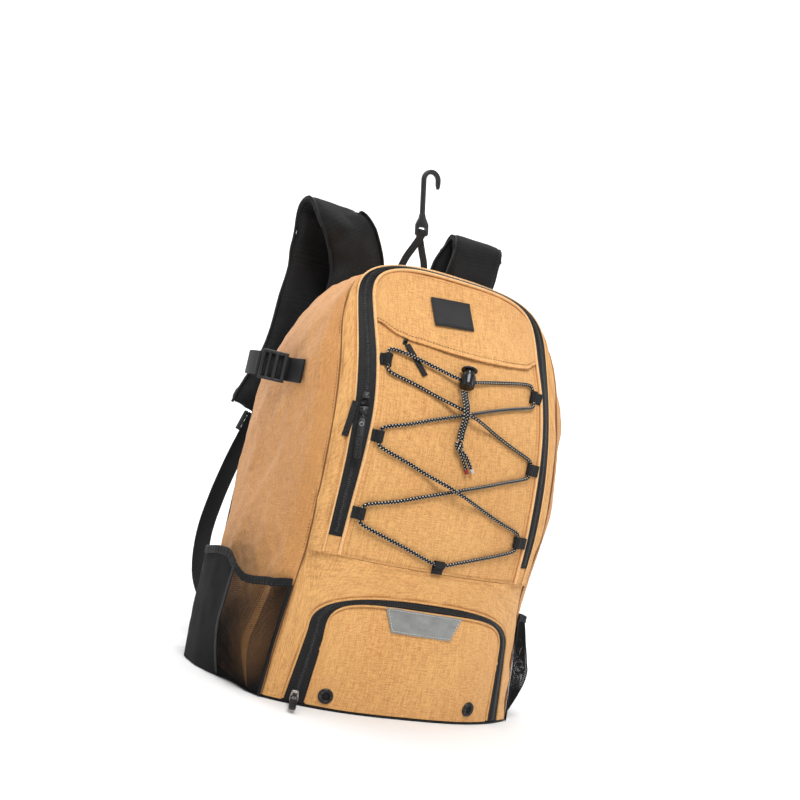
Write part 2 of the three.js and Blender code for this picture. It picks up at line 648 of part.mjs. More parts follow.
function pocketFloor(side) {
  const outer = pocketLines.map((line) => pocketPoint(side, line, 0, pocketWall / 2));
  const inner = pocketLines.map((line) => pocketPoint(side, { ...line, foot: 0 }, 0, 0));
  const flat = [...outer, ...inner.reverse()].map((p) => new THREE.Vector2(p.x, p.y));
  const floor = new THREE.ExtrudeGeometry(new THREE.Shape(flat), { depth: pocketWall, bevelEnabled: false });
  return floor.translate(0, 0, pocketFoot);
}
for (const [name, side] of [['left', -1], ['right', 1]]) {
  const bindingStart = 1 - bindingHeight / pocketHeight;
  const wall = pocketWallBetween(side, 0, bindingStart, 5, pocketWall);
  add(`side_pocket_${name}`, joined(wall, pocketFloor(side)), blackNet);
  const clear = seamGap / pocketHeight;
  add(`pocket_binding_${name}`, pocketWallBetween(side, bindingStart + clear, 1, 1, bindingThickness), blackCloth);
}

// Lacing loops: webbing tabs folded round the cord at the front panel's edges
const loopPlaces = [
  { name: 'lacing_loop_left_top', side: -1, x: 0.289, z: 0.6376 },
  { name: 'lacing_loop_left_middle', side: -1, x: 0.2922, z: 0.3948 },
  { name: 'lacing_loop_left_low', side: -1, x: 0.2987, z: 0.1457 },
  { name: 'lacing_loop_right_top', side: 1, x: 0.289, z: 0.6376 },
  { name: 'lacing_loop_right_middle', side: 1, x: 0.2922, z: 0.3948 },
  { name: 'lacing_loop_right_low', side: 1, x: 0.2987, z: 0.1457 },
].map(onPanel);
const cordRadius = cordDiameter / 2;
const cordLift = cordRadius + cordClearance + loopWebbing + 0.3;
const loopInner = cordRadius + 0.35;
// The tab's profile across the fold: the eye round the cord and the flat tail to the seam
function loopProfile(reach) {
  const outerRadius = loopInner + loopWebbing;
  const shape = new THREE.Shape();
  shape.moveTo(reach, -outerRadius);
  shape.lineTo(0, -outerRadius);
  shape.absarc(0, 0, outerRadius, -Math.PI / 2, -Math.PI * 1.5, true);
  shape.lineTo(reach, -outerRadius + 2.2 * loopWebbing);
  shape.closePath();
  const eye = new THREE.Path();
  eye.absarc(0, 0, loopInner, 0, 2 * Math.PI, false);
  shape.holes.push(eye);
  return shape;
}
function loopBody(reach) {
  const body = new THREE.ExtrudeGeometry(loopProfile(reach), { depth: loopWidth, bevelEnabled: false, curveSegments: 8 });
  return body.translate(0, 0, -loopWidth / 2);
}
// Places a tab so that its eye holds the cord: its tail points along reach
function addLoop(name, x, z, towards, reach) {
  const eye = onLacing(x, z, cordLift);
  const out = onLacing(x, z, cordLift + 1).sub(eye).normalize();
  const along = new THREE.Vector3().crossVectors(towards, out).normalize();
  const tail = new THREE.Vector3().crossVectors(out, along).normalize();
  const group = new THREE.Group();
  group.quaternion.setFromRotationMatrix(new THREE.Matrix4().makeBasis(tail, out, tail.clone().cross(out)));
  group.position.copy(eye);
  backpack.add(group);
  add(name, loopBody(reach), blackCloth, group);
}
for (const { name, side, x, z } of loopPlaces) {
  const reach = lineAt('edgeHalf', z) * bodyWidth - Math.abs(side * x + lacingShift);
  addLoop(name, side * x, z, new THREE.Vector3(side, 0, 0), reach);
}
const bottomLoop = onPanel({ x: 0, z: 0.0324 });
addLoop('lacing_loop_bottom', bottomLoop.x, bottomLoop.z, new THREE.Vector3(0, 0, -1), bottomLoop.z - seamHeight);

// Lacing cord: its route on the front panel, from the lock's left side round the loops and
// back to the lock's right side. lift 1 passes over what it crosses.
const crossingLift = cordDiameter + 0.5;
const lockPlace = onPanel({ x: -0.0195, z: 0.6246 });
const lacingRoute = [
  { x: -0.0568, z: 0.6311, lift: 0.4 }, { x: -0.1299, z: 0.6505, lift: 0.3 }, { x: -0.2078, z: 0.6667, lift: 0.3 },
  { x: -0.2727, z: 0.6764, lift: 0 }, { x: -0.289, z: 0.6601, lift: 0 }, { x: -0.289, z: 0.6376, lift: 0 },
  { x: -0.289, z: 0.6149, lift: 0 }, { x: -0.276, z: 0.6003, lift: 0 }, { x: -0.1883, z: 0.5794, lift: 0 },
  { x: -0.1104, z: 0.5583, lift: 0 }, { x: -0.0325, z: 0.534, lift: 1 }, { x: 0.0065, z: 0.5211, lift: 1 },
  { x: 0.0455, z: 0.5081, lift: 1 }, { x: 0.1234, z: 0.4823, lift: 0 }, { x: 0.2013, z: 0.4531, lift: 0 },
  { x: 0.2727, z: 0.4304, lift: 0 }, { x: 0.2922, z: 0.4175, lift: 0 }, { x: 0.2922, z: 0.3948, lift: 0 },
  { x: 0.2922, z: 0.3721, lift: 0 }, { x: 0.2727, z: 0.3592, lift: 0 }, { x: 0.1883, z: 0.3333, lift: 0 },
  { x: 0.1104, z: 0.3075, lift: 0 }, { x: 0.039, z: 0.2848, lift: 0 }, { x: 0, z: 0.2718, lift: 0 },
  { x: -0.039, z: 0.2589, lift: 0 }, { x: -0.1169, z: 0.233, lift: 0 }, { x: -0.1948, z: 0.2055, lift: 0 },
  { x: -0.2792, z: 0.1812, lift: 0 }, { x: -0.2987, z: 0.1683, lift: 0 }, { x: -0.2987, z: 0.1457, lift: 0 },
  { x: -0.2987, z: 0.123, lift: 0 }, { x: -0.2825, z: 0.1101, lift: 0 }, { x: -0.2078, z: 0.0874, lift: 0 },
  { x: -0.1299, z: 0.0647, lift: 0 }, { x: -0.0519, z: 0.0404, lift: 0 }, { x: -0.0227, z: 0.0324, lift: 0 },
  { x: 0, z: 0.0324, lift: 0 }, { x: 0.0227, z: 0.0324, lift: 0 }, { x: 0.0519, z: 0.0404, lift: 0 },
  { x: 0.1299, z: 0.0647, lift: 0 }, { x: 0.2078, z: 0.0874, lift: 0 }, { x: 0.2825, z: 0.1101, lift: 0 },
  { x: 0.2987, z: 0.123, lift: 0 }, { x: 0.2987, z: 0.1457, lift: 0 }, { x: 0.2987, z: 0.1683, lift: 0 },
  { x: 0.2792, z: 0.1812, lift: 0 }, { x: 0.1948, z: 0.2055, lift: 0 }, { x: 0.1169, z: 0.233, lift: 0 },
  { x: 0.039, z: 0.2589, lift: 1 }, { x: 0, z: 0.2718, lift: 1 }, { x: -0.039, z: 0.2848, lift: 1 },
  { x: -0.1104, z: 0.3075, lift: 0 }, { x: -0.1883, z: 0.3333, lift: 0 }, { x: -0.2727, z: 0.3592, lift: 0 },
  { x: -0.2922, z: 0.3721, lift: 0 }, { x: -0.2922, z: 0.3948, lift: 0 }, { x: -0.2922, z: 0.4175, lift: 0 },
  { x: -0.2727, z: 0.4304, lift: 0 }, { x: -0.2013, z: 0.4531, lift: 0 }, { x: -0.1234, z: 0.4823, lift: 0 },
  { x: -0.0455, z: 0.5081, lift: 0 }, { x: 0.0065, z: 0.5242, lift: 0 }, { x: 0.0325, z: 0.534, lift: 0 },
  { x: 0.1104, z: 0.5583, lift: 0 }, { x: 0.1883, z: 0.5794, lift: 0 }, { x: 0.276, z: 0.6003, lift: 0 },
  { x: 0.289, z: 0.6149, lift: 0 }, { x: 0.289, z: 0.6376, lift: 0 }, { x: 0.289, z: 0.6601, lift: 0 },
  { x: 0.2727, z: 0.6764, lift: 0 }, { x: 0.1948, z: 0.6667, lift: 0 }, { x: 0.1039, z: 0.6505, lift: 0 },
  { x: 0.0179, z: 0.6311, lift: 0.4 },
].map(onPanel);
function cordStations(path) {
  let face = new THREE.Vector3(0, -1, 0);
  return path.map((place, i) => {
    const ahead = path[Math.min(i + 1, path.length - 1)];
    const behind = path[Math.max(i - 1, 0)];
    const tangent = ahead.clone().sub(behind).normalize();
    const wide = new THREE.Vector3().crossVectors(tangent, face).normalize();
    face = new THREE.Vector3().crossVectors(wide, tangent).normalize();
    return { place, wide, thick: face };
  });
}
const lacingPath = lacingRoute.map(({ x, z, lift }) => onLacing(x, z, cordLift + lift * crossingLift));
add('lacing_cord', sweep(cordStations(lacingPath), roundSection(cordRadius, 6)), cordCloth);

// Cord lock: a barrel with a blind socket, and the sprung button that presses into it
const lockOut = onFront(lockPlace.x, lockPlace.z, 1).sub(onFront(lockPlace.x, lockPlace.z, 0)).normalize();
const lockTilt = 0.16;
const lockUp = new THREE.Vector3(Math.sin(lockTilt), 0, Math.cos(lockTilt));
const lockCentre = onFront(lockPlace.x, lockPlace.z, lockRadius + cordClearance);
const lockGroup = placedGroup(lockCentre, lockOut, lockUp);
const lockFloor = 3;
function lathe(profile, sides) {
  return new THREE.LatheGeometry(profile.map(([r, h]) => new THREE.Vector2(r, h)), sides).rotateX(Math.PI / 2);
}
const lockProfile = [
  [0, -lockLength / 2], [lockRadius - 1.5, -lockLength / 2], [lockRadius, -lockLength / 2 + 2],
  [lockRadius, lockLength / 2 - 1], [lockRadius - 1, lockLength / 2], [lockBore, lockLength / 2],
  [lockBore, -lockLength / 2 + lockFloor], [0, -lockLength / 2 + lockFloor],
];
add('cord_lock_body', lathe(lockProfile, 20), blackPlastic, lockGroup);
const stemFoot = -lockLength / 2 + lockFloor + buttonTravel + 0.5;
const flangeFoot = lockLength / 2 + buttonTravel + 0.3;
const buttonTop = flangeFoot + buttonFlangeThickness;
const buttonProfile = [
  [0, stemFoot], [buttonStemRadius, stemFoot], [buttonStemRadius, flangeFoot],
  [buttonFlangeRadius - 0.8, flangeFoot], [buttonFlangeRadius, flangeFoot + 1],
  [buttonFlangeRadius, buttonTop - 1.2], [buttonFlangeRadius - 1.6, buttonTop], [0, buttonTop],
];
add('cord_lock_button', lathe(buttonProfile, 20), blackPlastic, lockGroup);

// The two tails hang from the lock, lie over the cord's crossing and meet in a knot
const tailRoute = [
  { x: -0.0292, z: 0.5906, lift: 1.15 }, { x: -0.0299, z: 0.5761, lift: 1.2 }, { x: -0.0302, z: 0.5567, lift: 1.8 },
  { x: -0.0292, z: 0.5373, lift: 2.2 }, { x: -0.0279, z: 0.5113, lift: 2.2 }, { x: -0.026, z: 0.4886, lift: 1.4 },
  { x: -0.0247, z: 0.4629, lift: 0.4 }, { x: -0.0244, z: 0.4385, lift: 0.3 },
].map(onPanel);
for (const [name, shift] of [['cord_tail_left', -1], ['cord_tail_right', 1]]) {
  const spread = shift * (cordRadius + 0.2);
  const path = tailRoute.map(({ x, z, lift }) => onFront(x + spread, z, cordLift + lift * crossingLift));
  add(name, sweep(cordStations(path), roundSection(cordRadius, 6)), cordCloth);
}
const knotPlace = onPanel({ x: -0.0244, z: 0.4208 });
const knotCentre = onFront(knotPlace.x, knotPlace.z, cordLift + 0.3 * crossingLift);
const tipRoutes = [
  [{ x: -0.026, z: 0.4142 }, { x: -0.0065, z: 0.3916 }, { x: 0.013, z: 0.3625 }, { x: 0.026, z: 0.3366 }],
  [{ x: -0.0227, z: 0.4142 }, { x: 0.0065, z: 0.3948 }, { x: 0.0292, z: 0.3689 }, { x: 0.0471, z: 0.3431 }],
].map((route) => route.map(onPanel));
const tipBodies = tipRoutes.map((route) => sweep(
  cordStations(route.map(({ x, z }) => onFront(x, z, cordLift))), roundSection(cordRadius, 6),
));
const knotBody = new THREE.SphereGeometry(knotRadius, 10, 8).translate(knotCentre.x, knotCentre.y, knotCentre.z);
add('cord_knot', joined(knotBody, ...tipBodies), cordCloth);

// Zip sliders: a body with two lugs and a pin across them, and pullers on the pin
function box(width, depth, height, x, y, z) {
  return new THREE.BoxGeometry(width, depth, height).translate(x, y, z);
}
function rod(radius, length, sides) {
  return new THREE.CylinderGeometry(radius, radius, length, sides).rotateZ(Math.PI / 2);
}
const eyeRadius = pullerPinRadius + pullerPinClearance + 0.9;
const pinHeight = sliderThickness + eyeRadius + pullerPinClearance;
const lugThickness = 1.4;
const lugGap = 3.6;
function slider() {
  const body = box(sliderWidth, sliderThickness, sliderLength, 0, sliderThickness / 2, 0);
  const lugAt = (side) => box(lugThickness, 3.6, 3.4, side * (lugGap + lugThickness) / 2, sliderThickness + 1.6, 0);
  const pin = rod(pullerPinRadius, lugGap + lugThickness, 10).translate(0, pinHeight, 0);
  return joined(body, lugAt(-1), lugAt(1), pin);
}
// A moulded puller that hangs from the pin: an eye, a ringed head and a grip
function mouldedPuller(length) {
  const hole = pullerPinRadius + pullerPinClearance;
  const eyeShape = new THREE.Shape();
  eyeShape.absarc(0, 0, eyeRadius, 0, 2 * Math.PI, false);
  const eyeHole = new THREE.Path();
  eyeHole.absarc(0, 0, hole, 0, 2 * Math.PI, false);
  eyeShape.holes.push(eyeHole);
  const eyeWidth = lugGap - 2 * pullerPinClearance;
  const eye = new THREE.ExtrudeGeometry(eyeShape, { depth: eyeWidth, bevelEnabled: false, curveSegments: 6 })
    .rotateY(Math.PI / 2).translate(-eyeWidth / 2, 0, 0);
  const neckLength = 5.5;
  const neck = box(eyeWidth, 1.6, neckLength, 0, 0, -hole - 0.4 - neckLength / 2);
  const gripTop = -hole - 0.4 - neckLength + 0.5;
  const gripLength = length + gripTop;
  const grip = box(pullerWidth, pullerThickness, gripLength, 0, 0, gripTop - gripLength / 2);
  return joined(eye, neck, grip);
}
// Slider and puller directions on the left leg of the main zip
const mainZipStation = 0.5;
function mainZipFrame(z) {
  const at = (height, station) => wallPoint(station, -1, height, 0);
  const place = at(z, mainZipStation);
  const up = at(z + 4, mainZipStation).sub(at(z - 4, mainZipStation)).normalize();
  const across = at(z, 0).sub(at(z, 1)).normalize();
  const out = new THREE.Vector3().crossVectors(across, up).normalize();
  return { place, up, out };
}
const mainSliderPlaces = [
  { name: 'main_slider_upper', height: 0.6649 },
  { name: 'main_slider_lower', height: 0.6332 },
];
const mainGroups = mainSliderPlaces.map(({ name, height }) => {
  const { place, up, out } = mainZipFrame(upTo(height));
  const group = placedGroup(place.clone().addScaledVector(out, 0.35), out, up);
  add(name, slider(), blackMetal, group);
  return group;
});
add('main_puller', mouldedPuller(mainPullerLength).translate(0, pinHeight, 0), blackPlastic, mainGroups[1]);

// The tape puller starts at the upper slider's side and lies over the front gusset
const tapePullerRoute = [
  { station: 0.92, height: 0.6528, lift: 3.4 }, { station: 1.02, height: 0.6310, lift: 2.6 },
  { station: 1.12, height: 0.6048, lift: 2 }, { station: 1.24, height: 0.5764, lift: 1.6 },
];
const tapePath = tapePullerRoute.map(({ station, height, lift }) => {
  const z = upTo(height);
  return wallPoint(station, -1, z, 0).addScaledVector(wallNormal(station, -1, z), lift);
});
add('main_tape_puller', sweep(
  stationsAlong(tapePath, () => new THREE.Vector3(-0.5, -0.87, 0)),
  flatSection(tapePullerWidth, tapePullerThickness),
), blackCloth);

// Puller of the top pocket's hidden zip, hanging out under the flap's edge
const pocketPullerRoute = [
  { x: -0.2273, z: 0.7055 }, { x: -0.2078, z: 0.6764 }, { x: -0.1867, z: 0.6472 }, { x: -0.1656, z: 0.6182 },
].map(onPanel);
const pocketPullerLift = 1.5;
const pocketPullerPath = pocketPullerRoute.map(({ x, z }) => onFront(x, z, pocketPullerLift));
add('top_pocket_puller', sweep(
  stationsAlong(pocketPullerPath, () => new THREE.Vector3(0, -0.9, 0.4)),
  flatSection(tapePullerWidth, tapePullerThickness),
), blackCloth);

// Slider and puller of the shoe compartment, at the left foot of its zip
const shoeSliderPlace = onShoeFront({ x: -0.3799, z: 0.0805 });
const shoeSurface = (z) => onLower(shoeSliderPlace.x, z, 0);
const shoeUp = shoeSurface(shoeSliderPlace.z + 4).sub(shoeSurface(shoeSliderPlace.z - 4)).normalize();
const shoeOut = onLower(shoeSliderPlace.x, shoeSliderPlace.z, 1).sub(shoeSurface(shoeSliderPlace.z)).normalize();
const shoeGroup = placedGroup(
  onLower(shoeSliderPlace.x, shoeSliderPlace.z, 0.35), shoeOut, shoeUp,
);
add('shoe_slider', slider(), blackMetal, shoeGroup);
const shoePullerTilt = 1.32;
const shoePullerHolder = new THREE.Group();
shoePullerHolder.position.set(0, pinHeight, 0);
shoePullerHolder.rotation.x = shoePullerTilt;
shoeGroup.add(shoePullerHolder);
add('shoe_puller', mouldedPuller(shoePullerLength), blackPlastic, shoePullerHolder);

// Side straps: webbing that stands off the side panel as an open loop, seen from above as
// shares of the strap's reach outwards and of its length along the side
const sideStrapSpan = 66;
const sideStrapLine = [
  { out: -0.03, along: -0.52 }, { out: -0.03, along: -0.26 }, { out: 0.06, along: -0.04 },
  { out: 0.18, along: 0.00 }, { out: 0.94, along: 0.16 }, { out: 1.00, along: 0.28 },
  { out: 1.00, along: 0.52 }, { out: 0.90, along: 0.78 }, { out: 0.64, along: 0.97 },
  { out: 0.34, along: 1.04 },
];
const sideStraps = [
  { name: 'left', side: -1, start: -0.076, rear: -0.21, z: 0.694 },
  { name: 'right', side: 1, start: 0.000, rear: -0.29, z: 0.694 },
];
const sidePanelHalf = 0.5 * bodyWidth;
function sideStrapPoint({ side, start, z }, out, along) {
  const x = sidePanelHalf + seamGap + sideStrapThickness / 2 + out * sideStrapReach;
  return new THREE.Vector3(side * x, start * bodyDepth + along * sideStrapSpan, upTo(z));
}
const upward = new THREE.Vector3(0, 0, 1);
function levelStations(path) {
  return path.map((place, i) => {
    const ahead = path[Math.min(i + 1, path.length - 1)];
    const behind = path[Math.max(i - 1, 0)];
    const tangent = ahead.clone().sub(behind).normalize();
    return { place, wide: upward, thick: new THREE.Vector3().crossVectors(upward, tangent).normalize() };
  });
}
for (const strap of sideStraps) {
  const line = [...sideStrapLine, { out: strap.rear, along: 1 }];
  const path = line.map(({ out, along }) => sideStrapPoint(strap, out, along));
  add(`side_strap_${strap.name}`, sweep(levelStations(path), flatSection(sideStrapWidth, sideStrapThickness)), blackCloth);
  const [from, to] = [path[3], path[4]];
  const run = to.clone().sub(from).normalize();
  const out = new THREE.Vector3().crossVectors(upward, run).multiplyScalar(-strap.side).normalize();
  const lift = sideStrapThickness / 2 + seamGap;
  const group = placedGroup(from.clone().lerp(to, 0.5).addScaledVector(out, lift), out, upward);
  add(`side_buckle_${strap.name}`, box(buckleWidth, buckleThickness, buckleHeight, 0, buckleThickness / 2, 0),
    blackPlastic, group);
}

// Shoulder straps: padded bands that rise from the back panel's top, fold over and come
// down behind. The left strap leans inwards at its root, the right one stands straighter and
// a little higher. The columns left, right and across are shares of bodyWidth, height is a
// share of bodyHeight and behind is the distance behind the back edge.
const strapLine = [
  { left: 0.149, right: 0.273, behind: 14.3, height: 0.873, rightRise: 0, face: [0, -1, 0] },
  { left: 0.156, right: 0.292, behind: 14.3, height: 0.943, rightRise: 2, face: [0, -1, 0] },
  { left: 0.172, right: 0.321, behind: 16, height: 1.009, rightRise: 4, face: [0, -1, 0] },
  { left: 0.218, right: 0.334, behind: 15, height: 1.066, rightRise: 7, face: [0, -1, 0.1] },
  { left: 0.273, right: 0.344, behind: 19, height: 1.114, rightRise: 9, face: [0, -0.8, 0.6] },
  { left: 0.289, right: 0.351, behind: 32, height: 1.138, rightRise: 10, face: [0, 0, 1] },
  { left: 0.292, right: 0.347, behind: 46, height: 1.118, rightRise: 9, face: [0, 0.8, 0.6] },
  { left: 0.286, right: 0.328, behind: 54, height: 1.066, rightRise: 5, face: [0, 1, 0.2] },
  { left: 0.282, right: 0.302, behind: 59, height: 0.978, rightRise: 0, face: [0, 1, 0] },
  { left: 0.286, right: 0.286, behind: 61, height: 0.862, rightRise: 0, face: [0, 1, 0] },
  { left: 0.302, right: 0.302, behind: 60, height: 0.760, rightRise: 0, face: [0, 1, 0] },
  { left: 0.334, right: 0.334, behind: 58, height: 0.666, rightRise: 0, face: [0, 1, 0] },
  { left: 0.380, right: 0.380, behind: 55, height: 0.572, rightRise: 0, face: [0, 1, 0] },
];
// The webbing below the adjuster, down to the lower corner of the back panel
const webbingLine = [
  { across: 0.432, behind: 55, height: 0.448, face: [0.4, 1, 0.2] },
  { across: 0.464, behind: 53, height: 0.349, face: [0.4, 1, 0.2] },
  { across: 0.487, behind: 46, height: 0.258, face: [0.4, 1, 0.2] },
  { across: 0.489, behind: 31, height: 0.179, face: [0.3, 1, 0.3] },
  { across: 0.458, behind: 12, height: 0.122, face: [0.1, 1, 0.4] },
  { across: 0.425, behind: 4.1, height: 0.083, face: [0, 1, 0] },
  { across: 0.409, behind: 4.1, height: 0.048, face: [0, 1, 0] },
];
const backFace = backEdgeDepth * bodyDepth;
for (const [name, side] of [['left', -1], ['right', 1]]) {
  const path = strapLine.map((row) => new THREE.Vector3(
    side * acrossTo(row[name]),
    backFace + row.behind,
    upTo(row.height) + (side > 0 ? row.rightRise : 0),
  ));
  add(`shoulder_strap_${name}`, sweep(
    stationsAlong(path, (_, i) => new THREE.Vector3(...strapLine[i].face)),
    paddedSection(shoulderStrapWidth, shoulderStrapThickness),
  ), blackCloth);
  const end = path[path.length - 1];
  const down = end.clone().sub(path[path.length - 2]).normalize();
  const below = (distance) => end.clone().addScaledVector(down, distance);
  const sideways = ([x, y, z]) => new THREE.Vector3(side * x, y, z);
  const route = webbingLine.map((row) => new THREE.Vector3(
    side * acrossTo(row.across), backFace + row.behind, upTo(row.height),
  ));
  const webbing = [below(1.5 * seamGap), below(adjusterHeight), ...route];
  const faces = [webbingLine[0], webbingLine[0], ...webbingLine].map((row) => sideways(row.face));
  add(`lower_webbing_${name}`, sweep(
    stationsAlong(webbing, (_, i) => faces[i]), flatSection(lowerWebbingWidth, lowerWebbingThickness),
  ), blackCloth);
  const out = faces[0].clone().addScaledVector(down, -faces[0].dot(down)).normalize();
  const place = below(adjusterHeight / 2 + 2 * seamGap).addScaledVector(out, lowerWebbingThickness / 2 + seamGap);
  const group = placedGroup(place, out, down.clone().negate());
  add(`strap_adjuster_${name}`, box(adjusterWidth, adjusterThickness, adjusterHeight, 0, adjusterThickness / 2, 0),
    blackPlastic, group);
}

// Fence hook: a flat moulded hook whose base has a slot for the haul loop
const topHeight = arches[arches.length - 2].top * bodyHeight;
const hookRise = 57;
const hookPlace = { x: acrossTo(0.013), y: 0.297 * bodyDepth, z: topHeight + hookRise };
function hookOutline() {
  const rodHalf = hookRod / 2;
  const bendHeight = hookHeight - hookBend - 5;
  const baseTop = 20;
  const outer = hookBend;
  const inner = hookBend - hookRod;
  const shape = new THREE.Shape();
  const centre = -rodHalf + outer;
  const tipDrop = 10;
  shape.moveTo(-hookBaseWidth / 2, -5);
  shape.lineTo(hookBaseWidth / 2, -5);
  shape.lineTo(hookBaseWidth / 2, 9);
  shape.lineTo(rodHalf, baseTop);
  shape.lineTo(rodHalf, bendHeight);
  shape.absarc(centre, bendHeight, inner, Math.PI, 0, true);
  shape.lineTo(centre + inner - 3, bendHeight - tipDrop);
  shape.lineTo(centre + outer - 3, bendHeight - tipDrop + 1);
  shape.lineTo(centre + outer, bendHeight);
  shape.absarc(centre, bendHeight, outer, 0, Math.PI, false);
  shape.lineTo(-rodHalf, baseTop);
  shape.lineTo(-hookBaseWidth / 2, 9);
  shape.closePath();
  const slot = new THREE.Path();
  const [w, h] = [hookSlotWidth / 2, hookSlotHeight];
  slot.moveTo(-w, 0);
  slot.lineTo(-w, h);
  slot.lineTo(w, h);
  slot.lineTo(w, 0);
  slot.closePath();
  shape.holes.push(slot);
  return shape;
}
const hookBody = new THREE.ExtrudeGeometry(hookOutline(), {
  depth: hookThickness, bevelEnabled: false, curveSegments: 10,
}).rotateX(Math.PI / 2).translate(0, hookThickness / 2, 0);
const hook = add('fence_hook', hookBody, blackPlastic);
hook.position.set(hookPlace.x, hookPlace.y, hookPlace.z);
hook.rotation.y = hookLean;

// Haul loop: webbing sewn to the top panel, up in front of the hook's bar, over it through
// the slot and down behind
const frontFootRise = -1.5;
const backFootRise = -2.8;
const barRise = 1 + (haulWebbingThickness / 2 + 0.5) / hookRise;
const barReach = hookThickness / 2 + haulWebbingThickness / 2 + 0.6;
const haulLine = [
  { x: -haulLoopSpread / 2, y: -barReach, rise: frontFootRise / hookRise }, { x: -haulLoopSpread * 0.36, y: -barReach, rise: 0.37 },
  { x: -haulLoopSpread * 0.2, y: -barReach, rise: 0.63 }, { x: -1.2, y: -barReach, rise: 0.91 },
  { x: -0.2, y: -barReach, rise: barRise - 0.016 }, { x: 0, y: -barReach * 0.7, rise: barRise + 0.009 },
  { x: 0, y: barReach * 0.7, rise: barRise + 0.009 }, { x: 0.2, y: barReach, rise: barRise - 0.016 },
  { x: 1.2, y: barReach, rise: 0.91 }, { x: haulLoopSpread * 0.2, y: barReach, rise: 0.63 },
  { x: haulLoopSpread * 0.36, y: barReach, rise: 0.37 }, { x: haulLoopSpread / 2, y: barReach, rise: backFootRise / hookRise },
];
const haulFaces = [
  [0, -1, 0], [0, -1, 0], [0, -1, 0], [0, -1, 0], [0, -1, 0.6], [0, -0.4, 1],
  [0, 0.4, 1], [0, 1, 0.6], [0, 1, 0], [0, 1, 0], [0, 1, 0], [0, 1, 0],
];
const haulPath = haulLine.map(({ x, y, rise }) => (
  new THREE.Vector3(hookPlace.x + x, hookPlace.y + y, topHeight + rise * hookRise)
));
add('haul_loop', sweep(
  stationsAlong(haulPath, (_, i) => new THREE.Vector3(...haulFaces[i])),
  flatSection(haulWebbingWidth, haulWebbingThickness),
), blackCloth);

export default backpack;
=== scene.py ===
# %% [markdown]
# A sports backpack that stands on its base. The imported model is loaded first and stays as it
# is: every piece made here sits where its solid sits, in metres, with the front along -Y.
# Cloth panels, cords, webbing and pads are then modelled in finer detail than the solids.

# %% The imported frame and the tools
import math

import bmesh
import bpy
import numpy as np
from mathutils import Matrix, Vector


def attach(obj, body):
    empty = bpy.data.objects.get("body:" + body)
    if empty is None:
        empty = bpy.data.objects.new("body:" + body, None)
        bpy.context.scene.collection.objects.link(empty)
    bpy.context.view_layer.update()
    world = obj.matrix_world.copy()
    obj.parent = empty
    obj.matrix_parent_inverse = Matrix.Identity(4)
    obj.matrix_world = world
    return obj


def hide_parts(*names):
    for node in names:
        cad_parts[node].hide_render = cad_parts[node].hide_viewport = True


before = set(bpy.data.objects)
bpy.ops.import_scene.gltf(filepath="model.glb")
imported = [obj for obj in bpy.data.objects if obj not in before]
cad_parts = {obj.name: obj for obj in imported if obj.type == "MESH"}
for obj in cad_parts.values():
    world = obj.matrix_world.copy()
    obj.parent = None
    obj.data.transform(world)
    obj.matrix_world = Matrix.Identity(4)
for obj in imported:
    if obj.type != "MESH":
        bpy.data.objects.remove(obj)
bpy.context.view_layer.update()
MM = 0.001
SIDES = (("left", -1), ("right", 1))
print("nodes in the frame:", len(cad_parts))


def deselect():
    if bpy.context.object and bpy.context.object.mode != "OBJECT":
        bpy.ops.object.mode_set(mode="OBJECT")
    bpy.ops.object.select_all(action="DESELECT")


def activate(piece):
    """Makes a piece the one selected and active object, for the operators that follow."""
    deselect()
    piece.select_set(True)
    bpy.context.view_layer.objects.active = piece


def add_piece(name, points, faces):
    """A new active object from points and faces."""
    mesh = bpy.data.meshes.new(name)
    mesh.from_pydata([tuple(p) for p in points], [], faces)
    mesh.update()
    piece = bpy.data.objects.new(name, mesh)
    bpy.context.collection.objects.link(piece)
    activate(piece)
    return piece


def apply_modifier(piece, label, kind, **settings):
    modifier = piece.modifiers.new(label, kind)
    for key, value in settings.items():
        setattr(modifier, key, value)
    bpy.ops.object.modifier_apply(modifier=modifier.name)


def smooth_within(degrees):
    """Smooth shading on the active object, apart from edges sharper than the angle."""
    bpy.ops.object.shade_smooth_by_angle(angle=math.radians(degrees))


def places_of(piece):
    flat = np.empty(len(piece.data.vertices) * 3)
    piece.data.vertices.foreach_get("co", flat)
    return flat.reshape(-1, 3)


def set_places(piece, places):
    piece.data.vertices.foreach_set("co", places.ravel())
    piece.data.update()


def uv_from(piece, first, second):
    """Lays out the UV map from two values for each vertex."""
    layers = piece.data.uv_layers
    layer = layers[0] if layers else layers.new(name="UVMap")
    corners = np.empty(len(piece.data.loops), int)
    piece.data.loops.foreach_get("vertex_index", corners)
    layer.data.foreach_set("uv", np.stack([first[corners], second[corners]], 1).ravel())


# %% [markdown]
# The camera stands a little left of the bag, near the floor, and is rolled: the photograph
# shows the bag leaning to the right. A real camera does the same when it is turned in the hand,
# so the bag stays upright in the scene and only the camera carries the roll.

# %% Camera
CAMERA_PLACE = Vector((-0.6377, -1.1564, 0.2728))
CAMERA_AHEAD = Vector((0.4753, 0.8793, 0.0321)).normalized()
CAMERA_ROLL = math.radians(12.716)
CAMERA_LENS = 53.70


def add_camera():
    level = CAMERA_AHEAD.cross(Vector((0, 0, 1))).normalized()
    upright = level.cross(CAMERA_AHEAD).normalized()
    right = level * math.cos(CAMERA_ROLL) + upright * math.sin(CAMERA_ROLL)
    up = upright * math.cos(CAMERA_ROLL) - level * math.sin(CAMERA_ROLL)
    deselect()
    bpy.ops.object.camera_add(location=CAMERA_PLACE)
    camera = bpy.context.object
    camera.name = "photo_camera"
    camera.data.sensor_width = 36.0
    camera.data.lens = CAMERA_LENS
    turn = Matrix((right, up, -CAMERA_AHEAD)).transposed()
    camera.rotation_euler = turn.to_euler()
    bpy.context.scene.camera = camera
    return camera


